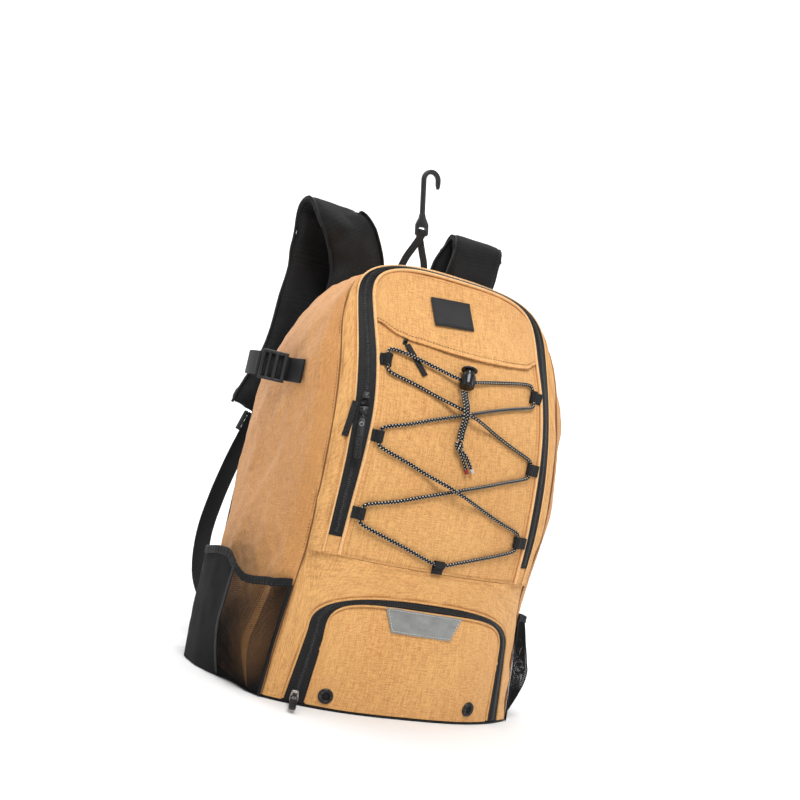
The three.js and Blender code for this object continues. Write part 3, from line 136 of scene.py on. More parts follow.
print("camera:", add_camera().name)

# %% [markdown]
# The bag's form is a set of arches: each runs up one side, over the top and down the other.
# The same tables gave the solids their shape, so a panel made from them fits its solid. They
# are read at any height with a smooth curve, which lets a panel have as many faces as it needs.

# %% The body's lines and arches
BODY_HEIGHT = 0.458
BODY_WIDTH = 0.308
BODY_DEPTH = 0.236
SEAM_HEIGHT = 0.149
ZIP_END_HEIGHT = 0.168
WALL_FOOT = 0.0029
UPPER_FOOT = SEAM_HEIGHT + 0.0002
LOWER_TOP = SEAM_HEIGHT - 0.0002
LINE_HEIGHTS = [0.000, 0.131, 0.275, 0.328, 0.437, 0.546, 0.655, 0.755, 0.856, 0.928, 1.000]
BODY_LINES = {
    "centre": [-.575, -.588, -.574, -.572, -.572, -.560, -.536, -.470, -.365, -.280, -.212],
    "edge_half": [.344, .344, .344, .342, .341, .334, .328, .328, .331, .334, .334],
    "edge": [-.500, -.504, -.502, -.506, -.518, -.518, -.494, -.424, -.305, -.224, -.160],
    "zip_half": [.396, .396, .393, .390, .393, .391, .388, .388, .390, .390, .390],
    "zip": [-.475, -.479, -.474, -.478, -.494, -.488, -.450, -.380, -.283, -.212, -.155],
    "seam_half": [.471, .456, .434, .432, .443, .445, .442, .440, .440, .440, .440],
    "seam": [-.424, -.415, -.411, -.428, -.457, -.453, -.418, -.355, -.260, -.182, -.118],
}
ARCH_COLUMNS = ("half", "depth", "to_back", "shoulder", "top", "roundness")
ARCHES = [dict(zip(ARCH_COLUMNS, row)) for row in (
    ("edge_half", "edge", 0.00, 0.873, 0.983, 3.5),
    ("zip_half", "zip", 0.00, 0.862, 0.991, 3.2),
    ("seam_half", "seam", 0.00, 0.764, 0.995, 3.0),
    ("corner", "seam", 0.08, 0.690, 0.997, 2.7),
    (0.500, "seam", 0.34, 0.610, 0.999, 2.5),
    (0.500, "seam", 0.70, 0.560, 0.998, 2.3),
    (0.474, "seam", 1.00, 0.546, 0.988, 2.1),
)]
BACK_EDGE_DEPTH = 0.373
CROWN_SHAPE = 2.2
LOWER_CROWN = 2.8
LEG_SHARE = 0.55
LAST_STATION = len(ARCHES) - 1
ARCH_END = 0.807
FIRST_EDGE, ZIP_EDGE, SIDE_SEAM = 0, 1, 2


def line_at(column, z):
    """A column of the body's lines at the heights z, on the same smooth curve as the solids."""
    heights = np.array(LINE_HEIGHTS)
    values = np.array(BODY_LINES[column])
    share = np.asarray(z, float) / BODY_HEIGHT
    row = np.clip(np.searchsorted(heights, share) - 1, 0, len(heights) - 2)
    before = np.maximum(row - 1, 0)
    after = np.minimum(row + 2, len(heights) - 1)
    slope_low = (values[row + 1] - values[before]) / (heights[row + 1] - heights[before])
    slope_high = (values[after] - values[row]) / (heights[after] - heights[row])
    span = heights[row + 1] - heights[row]
    t = (share - heights[row]) / span
    rise = (2 * t - 3) * t * t + 1
    bend = span * t * (1 - t) * ((1 - t) * slope_low - t * slope_high)
    return rise * values[row] + (1 - rise) * values[row + 1] + bend


def arch_rise(share, roundness):
    """The height share of a rounded arch at a share of its half width."""
    return np.maximum(1 - np.abs(share) ** roundness, 0) ** (1 / roundness)


def ring_parts(ring):
    """How far a ring value has climbed from its foot, and which side it is on."""
    return 1 - np.abs(ring), np.where(ring < 0, -1.0, 1.0)


def arch_half(arch, z):
    if arch["half"] == "corner":
        seam = line_at("seam_half", z)
        return (seam + (0.5 - seam) * 0.65) * BODY_WIDTH
    if isinstance(arch["half"], str):
        return line_at(arch["half"], z) * BODY_WIDTH
    return arch["half"] * BODY_WIDTH + np.zeros_like(np.asarray(z, float))


def arch_depth(arch, z, side_share):
    front = line_at(arch["depth"], z)
    bow = line_at("centre", z) - line_at("edge", z)
    crowned = front + bow * (1 - np.minimum(np.abs(side_share), 1) ** CROWN_SHAPE)
    return (crowned + (BACK_EDGE_DEPTH - crowned) * arch["to_back"]) * BODY_DEPTH


def arch_point(arch, ring, foot):
    """A point of one arch. ring runs from -1, the left foot, over the top to 1, the right foot."""
    climb, side = ring_parts(ring)
    shoulder = arch["shoulder"] * BODY_HEIGHT
    top = arch["top"] * BODY_HEIGHT
    angle = np.clip((climb - LEG_SHARE) / (1 - LEG_SHARE), 0, 1) * (math.pi / 2)
    on_leg = climb <= LEG_SHARE
    curve_z = shoulder + (top - shoulder) * np.sin(angle) ** (2 / arch["roundness"])
    z = np.where(on_leg, foot + (shoulder - foot) * (climb / LEG_SHARE), curve_z)
    share = np.where(on_leg, 1.0, np.maximum(np.cos(angle), 0) ** (2 / arch["roundness"]))
    half = arch_half(arch, np.minimum(z, shoulder))
    return np.stack([side * share * half, arch_depth(arch, z, share), z], axis=-1)


def between_arches(station, point_of):
    """Blends the points of the two arches on either side of each station."""
    station = np.asarray(station, float)
    first = np.clip(np.floor(station).astype(int), 0, LAST_STATION - 1)
    result = np.zeros(np.broadcast(station).shape + (3,))
    for index in np.unique(first):
        part = first == index
        low = point_of(ARCHES[index], part)
        high = point_of(ARCHES[index + 1], part)
        blend = (station[part] - index)[:, None]
        result[part] = low + (high - low) * blend
    return result


def body_point(station, ring, foot=UPPER_FOOT):
    station, ring = np.broadcast_arrays(np.asarray(station, float), np.asarray(ring, float))
    return between_arches(station, lambda arch, part: arch_point(arch, ring[part], foot))


def wall_point(station, side, z):
    """A point of the body below the shoulders, by its height alone."""
    station, z = np.broadcast_arrays(np.asarray(station, float), np.asarray(z, float))

    def at(arch, part):
        height = z[part]
        return np.stack([side * arch_half(arch, height), arch_depth(arch, height, 1.0), height], -1)

    return between_arches(station, at)


def front_point(x, z):
    half = line_at("edge_half", z) * BODY_WIDTH
    return np.stack(np.broadcast_arrays(x, arch_depth(ARCHES[FIRST_EDGE], z, x / half), z), -1)


def lower_front_point(x, z):
    half = line_at("seam_half", z) * BODY_WIDTH
    seam = line_at("seam", z)
    bow = line_at("centre", z) - seam
    depth = (seam + bow * (1 - np.minimum(np.abs(x / half), 1) ** LOWER_CROWN)) * BODY_DEPTH
    return np.stack(np.broadcast_arrays(x, depth, z), -1)


def front_arch_top(share):
    arch = ARCHES[FIRST_EDGE]
    rise = arch_rise(share, arch["roundness"])
    shoulder = arch["shoulder"] * BODY_HEIGHT
    return shoulder + (arch["top"] * BODY_HEIGHT - shoulder) * rise


print("top of the front arch:", round(float(front_arch_top(np.array(0.0))), 4), "m")

# %% [markdown]
# Everything flat and sewn starts as a grid primitive. Its points are moved onto the bag's form,
# small folds and sunk seams are added along the surface's own normal, and a Solidify modifier
# gives the cloth its thickness. The UV map is laid out in metres, so that one weave fits all.

# %% Cloth sheets
BODY_AXIS = Vector((0, 0.0, 0.2))


def unit(vectors):
    length = np.linalg.norm(vectors, axis=-1, keepdims=True)
    return vectors / np.maximum(length, 1e-12)


def crumple(places, size, seed):
    """Smooth, repeatable unevenness between about -1 and 1, with swells as wide as size."""
    draw = np.random.RandomState(seed)
    total = np.zeros(len(places))
    for octave in range(3):
        for _ in range(5):
            direction = draw.normal(size=3)
            direction /= np.linalg.norm(direction)
            wave = 2 * math.pi * 1.8 ** octave / size
            total += np.sin(places @ direction * wave + draw.uniform(0, 6.28)) / 2.0 ** octave
    return total / 5.0


def sink(distance, depth, width):
    """How far a sewn edge is pulled in at a distance from it."""
    return -depth * np.exp(-((distance / width) ** 2))


def sheet_measures(form):
    u = np.full(60, 0.5)
    v = np.linspace(0, 1, 60)
    return path_length(form(v, u)), path_length(form(u, v))


def cloth_sheet(name, columns, rows, form, thickness, relief=None, away_from=None):
    """form(u, v) gives the points; relief(u, v, places, wide, tall) lifts them in metres."""
    deselect()
    bpy.ops.mesh.primitive_grid_add(x_subdivisions=columns, y_subdivisions=rows, size=1)
    sheet = bpy.context.object
    sheet.name = sheet.data.name = name
    flat = places_of(sheet)
    u, v = flat[:, 0] + 0.5, flat[:, 1] + 0.5
    places = form(u, v)
    step = 0.5 / max(columns, rows)
    along_u = form(np.minimum(u + step, 1), v) - form(np.maximum(u - step, 0), v)
    along_v = form(u, np.minimum(v + step, 1)) - form(u, np.maximum(v - step, 0))
    normals = unit(np.cross(along_u, along_v))
    centre = np.array(BODY_AXIS if away_from is None else away_from)
    outward = np.sum(normals * (places - centre)) >= 0
    if not outward:
        normals = -normals
    wide, tall = sheet_measures(form)
    if relief is not None:
        places = places + normals * relief(u, v, places, wide, tall)[:, None]
    set_places(sheet, places)
    uv_from(sheet, u * wide, v * tall)
    if not outward:
        sheet.data.flip_normals()
    apply_modifier(sheet, "cloth thickness", "SOLIDIFY", thickness=thickness, offset=-1,
                   use_quality_normals=True)
    smooth_within(40)
    return sheet


# %% [markdown]
# Cords, webbing and piping are sweeps: a section carried along a smooth path. The path goes
# through given points, and the frame is turned along it without twisting, or kept facing the
# way the strap's face looks. UVs run in metres along the length and round the section.

# %% Sweeps
def smooth_path(points, step):
    """Points at about an equal step on a smooth curve through the given points."""
    given = np.array([tuple(p) for p in points], float)
    padded = np.vstack([2 * given[0] - given[1], given, 2 * given[-1] - given[-2]])
    fine = []
    for i in range(1, len(padded) - 2):
        p0, p1, p2, p3 = padded[i - 1:i + 3]
        count = max(int(np.linalg.norm(p2 - p1) / step), 1) * 4
        t = np.linspace(0, 1, count, endpoint=False)[:, None]
        fine.append(0.5 * (2 * p1 + (p2 - p0) * t + (2 * p0 - 5 * p1 + 4 * p2 - p3) * t ** 2
                           + (3 * p1 - p0 - 3 * p2 + p3) * t ** 3))
    curve = np.vstack(fine + [given[-1:]])
    reach = reach_of(curve)
    even = np.linspace(0, reach[-1], max(int(round(reach[-1] / step)), 2) + 1)
    return read_at(even, reach, curve)


def reach_of(path):
    """The distance along a path at each of its points."""
    return np.concatenate([[0], np.cumsum(np.linalg.norm(np.diff(path, axis=0), axis=1))])


def read_at(steps, known, rows):
    """Rows of three values, read between the known steps."""
    return np.stack([np.interp(steps, known, rows[:, axis]) for axis in range(3)], axis=1)


def path_length(path):
    return float(np.linalg.norm(np.diff(path, axis=0), axis=1).sum())


def sweep(name, path, section, faces_way=None, start_way=(0.02, -1, 0.03)):
    """section is a list of (across, out) points, or a function of the length share."""
    tangents = unit(np.gradient(path, axis=0))
    ways = np.array([start_way] if faces_way is None else faces_way, float)
    if len(ways) == 1:
        ways = np.repeat(ways, len(path), axis=0)
    outs = np.zeros_like(path)
    carried = ways[0]
    for i, tangent in enumerate(tangents):
        way = ways[i] if faces_way is not None else carried
        carried = way - tangent * float(np.dot(way, tangent))
        carried = carried / np.linalg.norm(carried)
        outs[i] = carried
    across = np.cross(tangents, outs)
    reach = reach_of(path)
    shape = section if callable(section) else (lambda share: section)
    rings = []
    for i, place in enumerate(path):
        ring = np.array(shape(reach[i] / reach[-1]), float)
        rings.append(place + across[i] * ring[:, :1] + outs[i] * ring[:, 1:2])
    sides = len(rings[0])
    ring = np.array(shape(0.5), float)
    around = reach_of(np.vstack([ring, ring[:1]]))
    quads, uvs = [], []
    for i in range(len(path) - 1):
        for s in range(sides):
            t = (s + 1) % sides
            quads.append((i * sides + s, i * sides + t, (i + 1) * sides + t, (i + 1) * sides + s))
            low, high = reach[i], reach[i + 1]
            uvs += [(around[s], low), (around[s + 1], low), (around[s + 1], high), (around[s], high)]
    last = (len(path) - 1) * sides
    quads.append(tuple(range(sides))[::-1])
    quads.append(tuple(range(last, last + sides)))
    uvs += [(around[s], 0) for s in range(sides)][::-1] + [(around[s], reach[-1]) for s in range(sides)]
    piece = add_piece(name, np.vstack(rings), quads)
    piece.data.uv_layers.new(name="UVMap").data.foreach_set("uv", np.array(uvs).ravel())
    make_solid_outward(piece)
    smooth_within(50)
    return piece


def make_solid_outward(piece):
    shape = bmesh.new()
    shape.from_mesh(piece.data)
    if shape.calc_volume(signed=True) < 0:
        bmesh.ops.reverse_faces(shape, faces=shape.faces)
    shape.to_mesh(piece.data)
    shape.free()


def round_section(radius, sides=12):
    angles = np.linspace(0, 2 * math.pi, sides, endpoint=False)
    return [(radius * math.cos(a), radius * math.sin(a)) for a in angles]


def strap_section(width, thickness, rounding=0.5, steps=3):
    """A flat section with rounded edges."""
    radius = thickness * rounding
    section = []
    for centre_x, centre_y, start in ((1, 1, 0), (-1, 1, 90), (-1, -1, 180), (1, -1, 270)):
        for k in range(steps + 1):
            angle = math.radians(start + 90 * k / steps)
            section.append((centre_x * (width / 2 - radius) + radius * math.cos(angle),
                            centre_y * (thickness / 2 - radius) + radius * math.sin(angle)))
    return section


def lifted(point_of, x, z, lift):
    """A point lifted off a front face along its normal."""
    step = 0.001

    def point_at(x, z):
        return point_of(np.array([x]), np.array([z]))[0]

    place = point_at(x, z)
    slope_x = (point_at(x + step, z)[1] - point_at(x - step, z)[1]) / (2 * step)
    slope_z = (point_at(x, z + step)[1] - point_at(x, z - step)[1]) / (2 * step)
    normal = np.array([slope_x, -1, slope_z])
    return place + normal / np.linalg.norm(normal) * lift


def on_front(x_mm, z_mm, lift_mm):
    return lifted(front_point, x_mm * MM, z_mm * MM, lift_mm * MM)


def on_lower(x_mm, z_mm, lift_mm):
    return lifted(lower_front_point, x_mm * MM, z_mm * MM, lift_mm * MM)


# %% [markdown]
# The two tails of the lacing cord are the only free cords. They leave the cord lock side by
# side, pass over the first crossing of the lacing and end in one knot, from which two dipped
# tips hang. Their route is the same as their solids', and so is their 3.6 mm thickness.

# %% Cord tails
CORD_DIAMETER = 0.0036
CORD_RADIUS = CORD_DIAMETER / 2
CORD_LIFT = 3.6
CROSSING_LIFT = 4.1
TAIL_ROUTE = [
    (-9.0, 331.5, 1.15), (-9.2, 327.0, 1.2), (-9.3, 321.0, 1.8), (-9.0, 315.0, 2.2),
    (-8.6, 307.0, 2.2), (-8.0, 300.0, 1.4), (-7.6, 292.0, 0.4), (-7.5, 284.5, 0.3),
]
TAIL_SPREAD = 2.0


def tail_path(shift):
    points = [on_front(x + shift * TAIL_SPREAD, z, CORD_LIFT + lift * CROSSING_LIFT)
              for x, z, lift in TAIL_ROUTE]
    return smooth_path(points, 0.0012)


tails = {}
for tail_name, shift in (("cord_tail_left", -1), ("cord_tail_right", 1)):
    path = tail_path(shift)
    piece = sweep(tail_name + "_braid", path, round_section(CORD_RADIUS, 14))
    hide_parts(tail_name)
    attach(piece, "root")
    tails[tail_name] = (piece, path)
    print(tail_name, "is", round(path_length(path) * 1000, 1), "mm long")

# %% [markdown]
# Each finish is a small node tree. Cloth reads the UV map in metres: two stretched noises give
# the uneven threads of a heather canvas in both directions, a broad one gives the faded and
# darker areas, and waves give the raised threads. What is one value all over sits on the shader.

# %% Node helpers
def new_finish(name, **shader_values):
    material = bpy.data.materials.new(name)
    material.use_nodes = True
    tree = material.node_tree
    shader = tree.nodes["Principled BSDF"]
    for socket, value in shader_values.items():
        shader.inputs[socket.replace("_", " ")].default_value = value
    return material, tree, shader


def add_node(tree, kind, inputs=None, **settings):
    made = tree.nodes.new(kind)
    for key, value in settings.items():
        setattr(made, key, value)
    for key, value in (inputs or {}).items():
        if isinstance(value, bpy.types.NodeSocket):
            tree.links.new(value, made.inputs[key])
        else:
            made.inputs[key].default_value = value
    return made


def coordinates(tree, source, scale):
    """Scaled coordinates: source is UV, in metres along the cloth, or Object."""
    place = add_node(tree, "ShaderNodeTexCoord")
    mapping = add_node(tree, "ShaderNodeMapping", {"Vector": place.outputs[source], "Scale": scale})
    return mapping.outputs["Vector"]


def noise(tree, vector, detail=3.0, roughness=0.55, scale=1.0):
    inputs = {"Vector": vector, "Scale": scale, "Detail": detail, "Roughness": roughness}
    return add_node(tree, "ShaderNodeTexNoise", inputs).outputs["Fac"]


def wave(tree, vector, direction, scale=1.0, distortion=0.0):
    inputs = {"Vector": vector, "Scale": scale, "Distortion": distortion}
    return add_node(tree, "ShaderNodeTexWave", inputs, bands_direction=direction).outputs["Fac"]


def ramp(tree, factor, low, high, low_colour, high_colour):
    made = add_node(tree, "ShaderNodeValToRGB", {"Fac": factor})
    made.color_ramp.elements[0].position = low
    made.color_ramp.elements[0].color = (*low_colour, 1)
    made.color_ramp.elements[1].position = high
    made.color_ramp.elements[1].color = (*high_colour, 1)
    return made.outputs["Color"]


def blend(tree, kind, factor, first, second):
    made = add_node(tree, "ShaderNodeMix", data_type="RGBA", blend_type=kind)
    for index, value in ((0, factor), (6, first), (7, second)):
        if isinstance(value, bpy.types.NodeSocket):
            tree.links.new(value, made.inputs[index])
        else:
            made.inputs[index].default_value = value
    return made.outputs[2]


def maths(tree, operation, first, second=0.0, third=0.0):
    return add_node(tree, "ShaderNodeMath", {0: first, 1: second, 2: third}, operation=operation).outputs[0]


def bumped(tree, shader, height, strength, distance):
    inputs = {"Height": height, "Strength": strength, "Distance": distance}
    bump = add_node(tree, "ShaderNodeBump", inputs)
    tree.links.new(bump.outputs["Normal"], shader.inputs["Normal"])


def woven(tree, grain, distortion=0.0):
    """Raised threads that cross at right angles."""
    rows = wave(tree, coordinates(tree, "UV", (1, 1, 1)), "X", scale=grain, distortion=distortion)
    lines = wave(tree, coordinates(tree, "UV", (1, 1, 1)), "Y", scale=grain, distortion=distortion)
    return maths(tree, "MULTIPLY", rows, lines)


# %% Canvas
def make_canvas(name, light, middle, dark):
    material, tree, shader = new_finish(name, Roughness=0.88, Sheen_Weight=0.12, Sheen_Roughness=0.5)
    warp = noise(tree, coordinates(tree, "UV", (900, 90, 1)), detail=2.0)
    weft = noise(tree, coordinates(tree, "UV", (110, 850, 1)), detail=2.0)
    slubs = noise(tree, coordinates(tree, "UV", (420, 28, 1)), detail=1.0)
    specks = noise(tree, coordinates(tree, "UV", (700, 620, 1)), detail=2.0, roughness=0.7)
    broad = noise(tree, coordinates(tree, "Object", (13, 13, 9)), detail=3.0)
    threads = maths(tree, "MULTIPLY_ADD", warp, 0.5, maths(tree, "MULTIPLY", weft, 0.5))
    threads = maths(tree, "MULTIPLY_ADD", specks, 0.55, threads)
    threads = maths(tree, "MULTIPLY_ADD", slubs, 0.22, threads)
    heather = ramp(tree, threads, 0.72, 1.0, dark, light)
    shade = ramp(tree, broad, 0.36, 0.66, middle, light)
    colour = blend(tree, "MIX", 0.34, heather, shade)
    tree.links.new(colour, shader.inputs["Base Color"])
    weave = woven(tree, 190.0, 0.4)
    relief = maths(tree, "MULTIPLY_ADD", threads, 0.9, maths(tree, "MULTIPLY", weave, 0.5))
    bumped(tree, shader, relief, 0.55, 0.0005)
    return material


def make_black_cloth(name, colour, lift, grain, roughness=0.82):
    material, tree, shader = new_finish(name, Roughness=roughness, Specular_IOR_Level=0.22)
    weave = woven(tree, grain)
    broad = noise(tree, coordinates(tree, "Object", (40, 40, 40)), detail=3.0)
    tone = maths(tree, "MULTIPLY_ADD", broad, 0.6, maths(tree, "MULTIPLY", weave, 0.5))
    tree.links.new(ramp(tree, tone, 0.2, 0.85, colour, lift), shader.inputs["Base Color"])
    bumped(tree, shader, weave, 0.5, 0.0004)
    return material


def make_webbing(name, colour, lift, rib):
    """Ribs run across the strap's length, with a fine twill between them."""
    material, tree, shader = new_finish(name, Roughness=0.62, Specular_IOR_Level=0.28)
    ribs = wave(tree, coordinates(tree, "UV", (0.25, 1, 1)), "Y", scale=rib)
    twill = wave(tree, coordinates(tree, "UV", (1, 1, 1)), "DIAGONAL", scale=rib * 0.8)
    height = maths(tree, "MULTIPLY_ADD", ribs, 0.7, maths(tree, "MULTIPLY", twill, 0.3))
    tree.links.new(ramp(tree, height, 0.1, 0.95, colour, lift), shader.inputs["Base Color"])
    bumped(tree, shader, height, 0.6, 0.0004)
    return material


# %% Cord, plastic, metal and small cloths
def make_cord(name):
    """A black braid with light flecks: the flecks lie where two families of turns cross."""
    material, tree, shader = new_finish(name, Roughness=0.72, Specular_IOR_Level=0.3)
    round_once = 1.0 / (math.pi * CORD_DIAMETER)
    left = coordinates(tree, "UV", (2 * round_once, 300, 1))
    split = add_node(tree, "ShaderNodeSeparateXYZ", {"Vector": left})
    one_way = maths(tree, "ADD", split.outputs["X"], split.outputs["Y"])
    other_way = maths(tree, "SUBTRACT", split.outputs["X"], split.outputs["Y"])
    first = maths(tree, "LESS_THAN", maths(tree, "FRACT", one_way), 0.36)
    second = maths(tree, "LESS_THAN", maths(tree, "FRACT", other_way), 0.40)
    fleck = maths(tree, "MULTIPLY", first, second)
    colour = blend(tree, "MIX", fleck, (0.006, 0.006, 0.007, 1), (0.72, 0.68, 0.60, 1))
    tree.links.new(colour, shader.inputs["Base Color"])
    turns = maths(tree, "PINGPONG", one_way, 0.5)
    back = maths(tree, "PINGPONG", other_way, 0.5)
    bumped(tree, shader, maths(tree, "ADD", turns, back), 0.7, 0.0005)
    return material


def make_plastic(name, colour, roughness, grain=900.0):
    material, tree, shader = new_finish(name, Specular_IOR_Level=0.5)
    fine = noise(tree, coordinates(tree, "Object", (grain, grain, grain)), detail=2.0)
    broad = noise(tree, coordinates(tree, "Object", (60, 60, 60)), detail=2.0)
    tree.links.new(ramp(tree, broad, 0.3, 0.7, colour, tuple(c * 1.7 for c in colour)),
                   shader.inputs["Base Color"])
    rough = maths(tree, "MULTIPLY_ADD", broad, 0.18, roughness)
    tree.links.new(rough, shader.inputs["Roughness"])
    bumped(tree, shader, fine, 0.15, 0.0002)
    return material


def make_metal(name, colour, worn, roughness):
    material, tree, shader = new_finish(name, Metallic=1.0)
    broad = noise(tree, coordinates(tree, "Object", (350, 350, 350)), detail=4.0)
    tree.links.new(ramp(tree, broad, 0.45, 0.75, colour, worn), shader.inputs["Base Color"])
    tree.links.new(maths(tree, "MULTIPLY_ADD", broad, 0.25, roughness), shader.inputs["Roughness"])
    bumped(tree, shader, broad, 0.12, 0.0002)
    return material


def make_reflective(name):
    """Silver cloth covered with tiny glass beads: grey, softly metallic, slightly blotched."""
    material, tree, shader = new_finish(name, Metallic=0.35)
    beads = noise(tree, coordinates(tree, "UV", (2600, 2600, 1)), detail=1.0)
    creases = noise(tree, coordinates(tree, "UV", (55, 90, 1)), detail=3.0)
    tone = maths(tree, "MULTIPLY_ADD", beads, 0.35, maths(tree, "MULTIPLY", creases, 0.65))
    tree.links.new(ramp(tree, tone, 0.3, 0.7, (0.20, 0.205, 0.20), (0.36, 0.365, 0.355)),
                   shader.inputs["Base Color"])
    tree.links.new(maths(tree, "MULTIPLY_ADD", creases, 0.2, 0.34), shader.inputs["Roughness"])
    bumped(tree, shader, tone, 0.3, 0.0004)
    return material


CANVAS_LIGHT = (0.80, 0.445, 0.160)
CANVAS_MIDDLE = (0.67, 0.330, 0.105)
CANVAS_DARK = (0.42, 0.170, 0.045)
canvas = make_canvas("tan_canvas", CANVAS_LIGHT, CANVAS_MIDDLE, CANVAS_DARK)
# A darker copy of the same tan canvas for the side panels: painted shade.
shaded_side_canvas = make_canvas("tan_canvas_painted_side_shade", (0.68, 0.335, 0.112), (0.57, 0.260, 0.082),
                          (0.38, 0.150, 0.042))
zip_cloth = make_webbing("zip_tape_cloth", (0.004, 0.004, 0.0045), (0.011, 0.011, 0.012), 320.0)
strap_cloth = make_black_cloth("strap_cloth", (0.007, 0.007, 0.0075), (0.021, 0.021, 0.022), 160.0)
lining_cloth = make_black_cloth("lining_cloth", (0.004, 0.004, 0.0045), (0.011, 0.011, 0.0115), 240.0)
mesh_pad_cloth = make_black_cloth("air_mesh_cloth", (0.006, 0.006, 0.007), (0.036, 0.036, 0.038), 110.0)
binding_cloth = make_webbing("binding_cloth", (0.004, 0.004, 0.0045), (0.012, 0.012, 0.0125), 260.0)
net_thread = make_black_cloth("net_thread", (0.005, 0.005, 0.0055), (0.014, 0.014, 0.015), 400.0)
webbing = make_webbing("webbing", (0.005, 0.005, 0.0055), (0.018, 0.018, 0.019), 150.0)
label_cloth = make_black_cloth("label_cloth", (0.020, 0.0195, 0.021), (0.036, 0.035, 0.037), 300.0, 0.6)
cord_braid = make_cord("cord_braid")
gloss_black = make_plastic("gloss_black_plastic", (0.007, 0.007, 0.008), 0.16)
satin_black = make_plastic("satin_black_plastic", (0.010, 0.010, 0.011), 0.34)
coil_plastic = make_plastic("coil_plastic", (0.014, 0.014, 0.015), 0.26)
dark_metal = make_metal("dark_metal", (0.035, 0.035, 0.037), (0.12, 0.12, 0.12), 0.28)
silver_metal = make_metal("silver_metal", (0.42, 0.40, 0.37), (0.62, 0.60, 0.56), 0.22)
reflective = make_reflective("reflective_cloth")
tan_thread = make_webbing("tan_thread", (0.40, 0.185, 0.06), (0.60, 0.31, 0.115), 700.0)
# Darker tan thread: real seam stitches, and also the colour of thin sunk cords that are a painted shadow
# along the seams.
seam_thread_and_shadow = make_webbing("seam_thread_and_shadow", (0.16, 0.07, 0.025), (0.28, 0.13, 0.05), 700.0)
black_thread = make_webbing("black_thread", (0.014, 0.014, 0.015), (0.05, 0.05, 0.052), 700.0)
red_tip = make_plastic("red_cord_tip", (0.20, 0.012, 0.012), 0.35)
white_tip = make_plastic("white_cord_tip", (0.45, 0.43, 0.41), 0.4)
print("finishes:", len(bpy.data.materials))


def finish_piece(piece, material, nodes=(), body="root"):
    """Gives a piece its finish, its CAD nodes and its body."""
    piece.data.materials.clear()
    piece.data.materials.append(material)
    if nodes:
        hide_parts(*nodes)
    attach(piece, body)
    return piece


for piece, _ in tails.values():
    piece.data.materials.append(cord_braid)

# %% [markdown]
# The body is sewn from canvas panels. Each panel follows the same arches as its solid, is pulled
# in at its sewn edges, swells softly between them and carries the pulled folds that the
# photograph shows near the seams. Panels are made one by one, because each has its own folds.

# %% Body panels
CANVAS_THICKNESS = 0.0016
FLAP_LIFT = 0.0028
FLAP_HALF = 0.102


def front_panel_form(u, v):
    share = 2 * u - 1
    top = 0.379 + 0.010 * share ** 2
    z = UPPER_FOOT + (top - UPPER_FOOT) * v
    half = line_at("edge_half", z) * BODY_WIDTH
    return np.stack([share * (half - 0.0002), arch_depth(ARCHES[FIRST_EDGE], z, share), z], -1)


def front_panel_relief(u, v, places, wide, tall):
    side = np.minimum(u, 1 - u) * wide
    low = v * tall
    soft = 0.0009 * crumple(places, 0.11, 3) + 0.00035 * crumple(places, 0.03, 4)
    soft *= np.clip(side / 0.015, 0, 1)
    return soft + sink(side, 0.0010, 0.003) + sink(low, 0.0012, 0.003)


def flap_form(u, v):
    """The hem runs low across the front and kinks up towards both ends, where it is caught."""
    share = 2 * u - 1
    share = np.sign(share) * (1 - (1 - np.abs(share)) ** 1.8)
    kink = np.clip((np.abs(share) - 0.80) / 0.17, 0, 1)
    rise = 0.0055 * kink * kink * (3 - 2 * kink)
    droop = 0.0012 * np.exp(-((share + 0.66) / 0.1) ** 2)
    low = 0.370 + 0.010 * share ** 2 + rise - droop
    z = low + (front_arch_top(share) - low) * v
    half = line_at("edge_half", np.minimum(z, ARCHES[0]["shoulder"] * BODY_HEIGHT)) * BODY_WIDTH
    place = np.stack([share * (half - 0.0002), arch_depth(ARCHES[FIRST_EDGE], z, share), z], -1)
    close_to_edge = np.clip(np.minimum((1 - np.abs(share)) * FLAP_HALF, (1 - v) * 0.08) / 0.006, 0, 1)
    place[..., 1] -= FLAP_LIFT * close_to_edge
    return place


def flap_relief(u, v, places, wide, tall):
    side = np.minimum(u, 1 - u) * wide
    soft = 0.0008 * crumple(places, 0.10, 8) * np.clip(side / 0.02, 0, 1)
    height = v * tall
    hem = 0.0011 * np.exp(-((height / 0.0045) ** 2)) - 0.0006 * np.exp(-(((height - 0.0055) / 0.0012) ** 2))
    hem += 0.00045 * np.sin(u * wide / 0.00085) * np.exp(-((height / 0.004) ** 2))
    return soft + hem + sink((1 - v) * tall, 0.0014, 0.004) + sink(side, 0.0008, 0.004)


def arch_strip_form(first, last, low_ring=-1.0, high_ring=1.0, foot=UPPER_FOOT):
    def form(u, v):
        return body_point(first + (last - first) * u, low_ring + (high_ring - low_ring) * v, foot)
    return form


def gusset_relief(u, v, places, wide, tall):
    inner, outer = u * wide, (1 - u) * wide
    pulls = 0.0006 * np.sin(v * tall / 0.0105 + 2.2 * np.sin(v * tall / 0.045))
    pulls *= np.exp(-((outer / 0.010) ** 2))
    low = np.clip((0.26 - places[:, 2]) / 0.11, 0, 1)
    folds = 0.0012 * low * crumple(places, 0.028, 12)
    swell = 0.0012 * np.sin(math.pi * u)
    return swell + pulls + folds + sink(inner, 0.0008, 0.002) + sink(outer, 0.0014, 0.0022)


def top_panel_relief(u, v, places, wide, tall):
    seam, back = u * wide, (1 - u) * wide
    ends = np.minimum(v, 1 - v) * tall
    soft = 0.0012 * crumple(places, 0.06, 15) * np.sin(math.pi * u)
    return soft + sink(seam, 0.0014, 0.0022) + sink(back, 0.0012, 0.003) + sink(ends, 0.0012, 0.003)


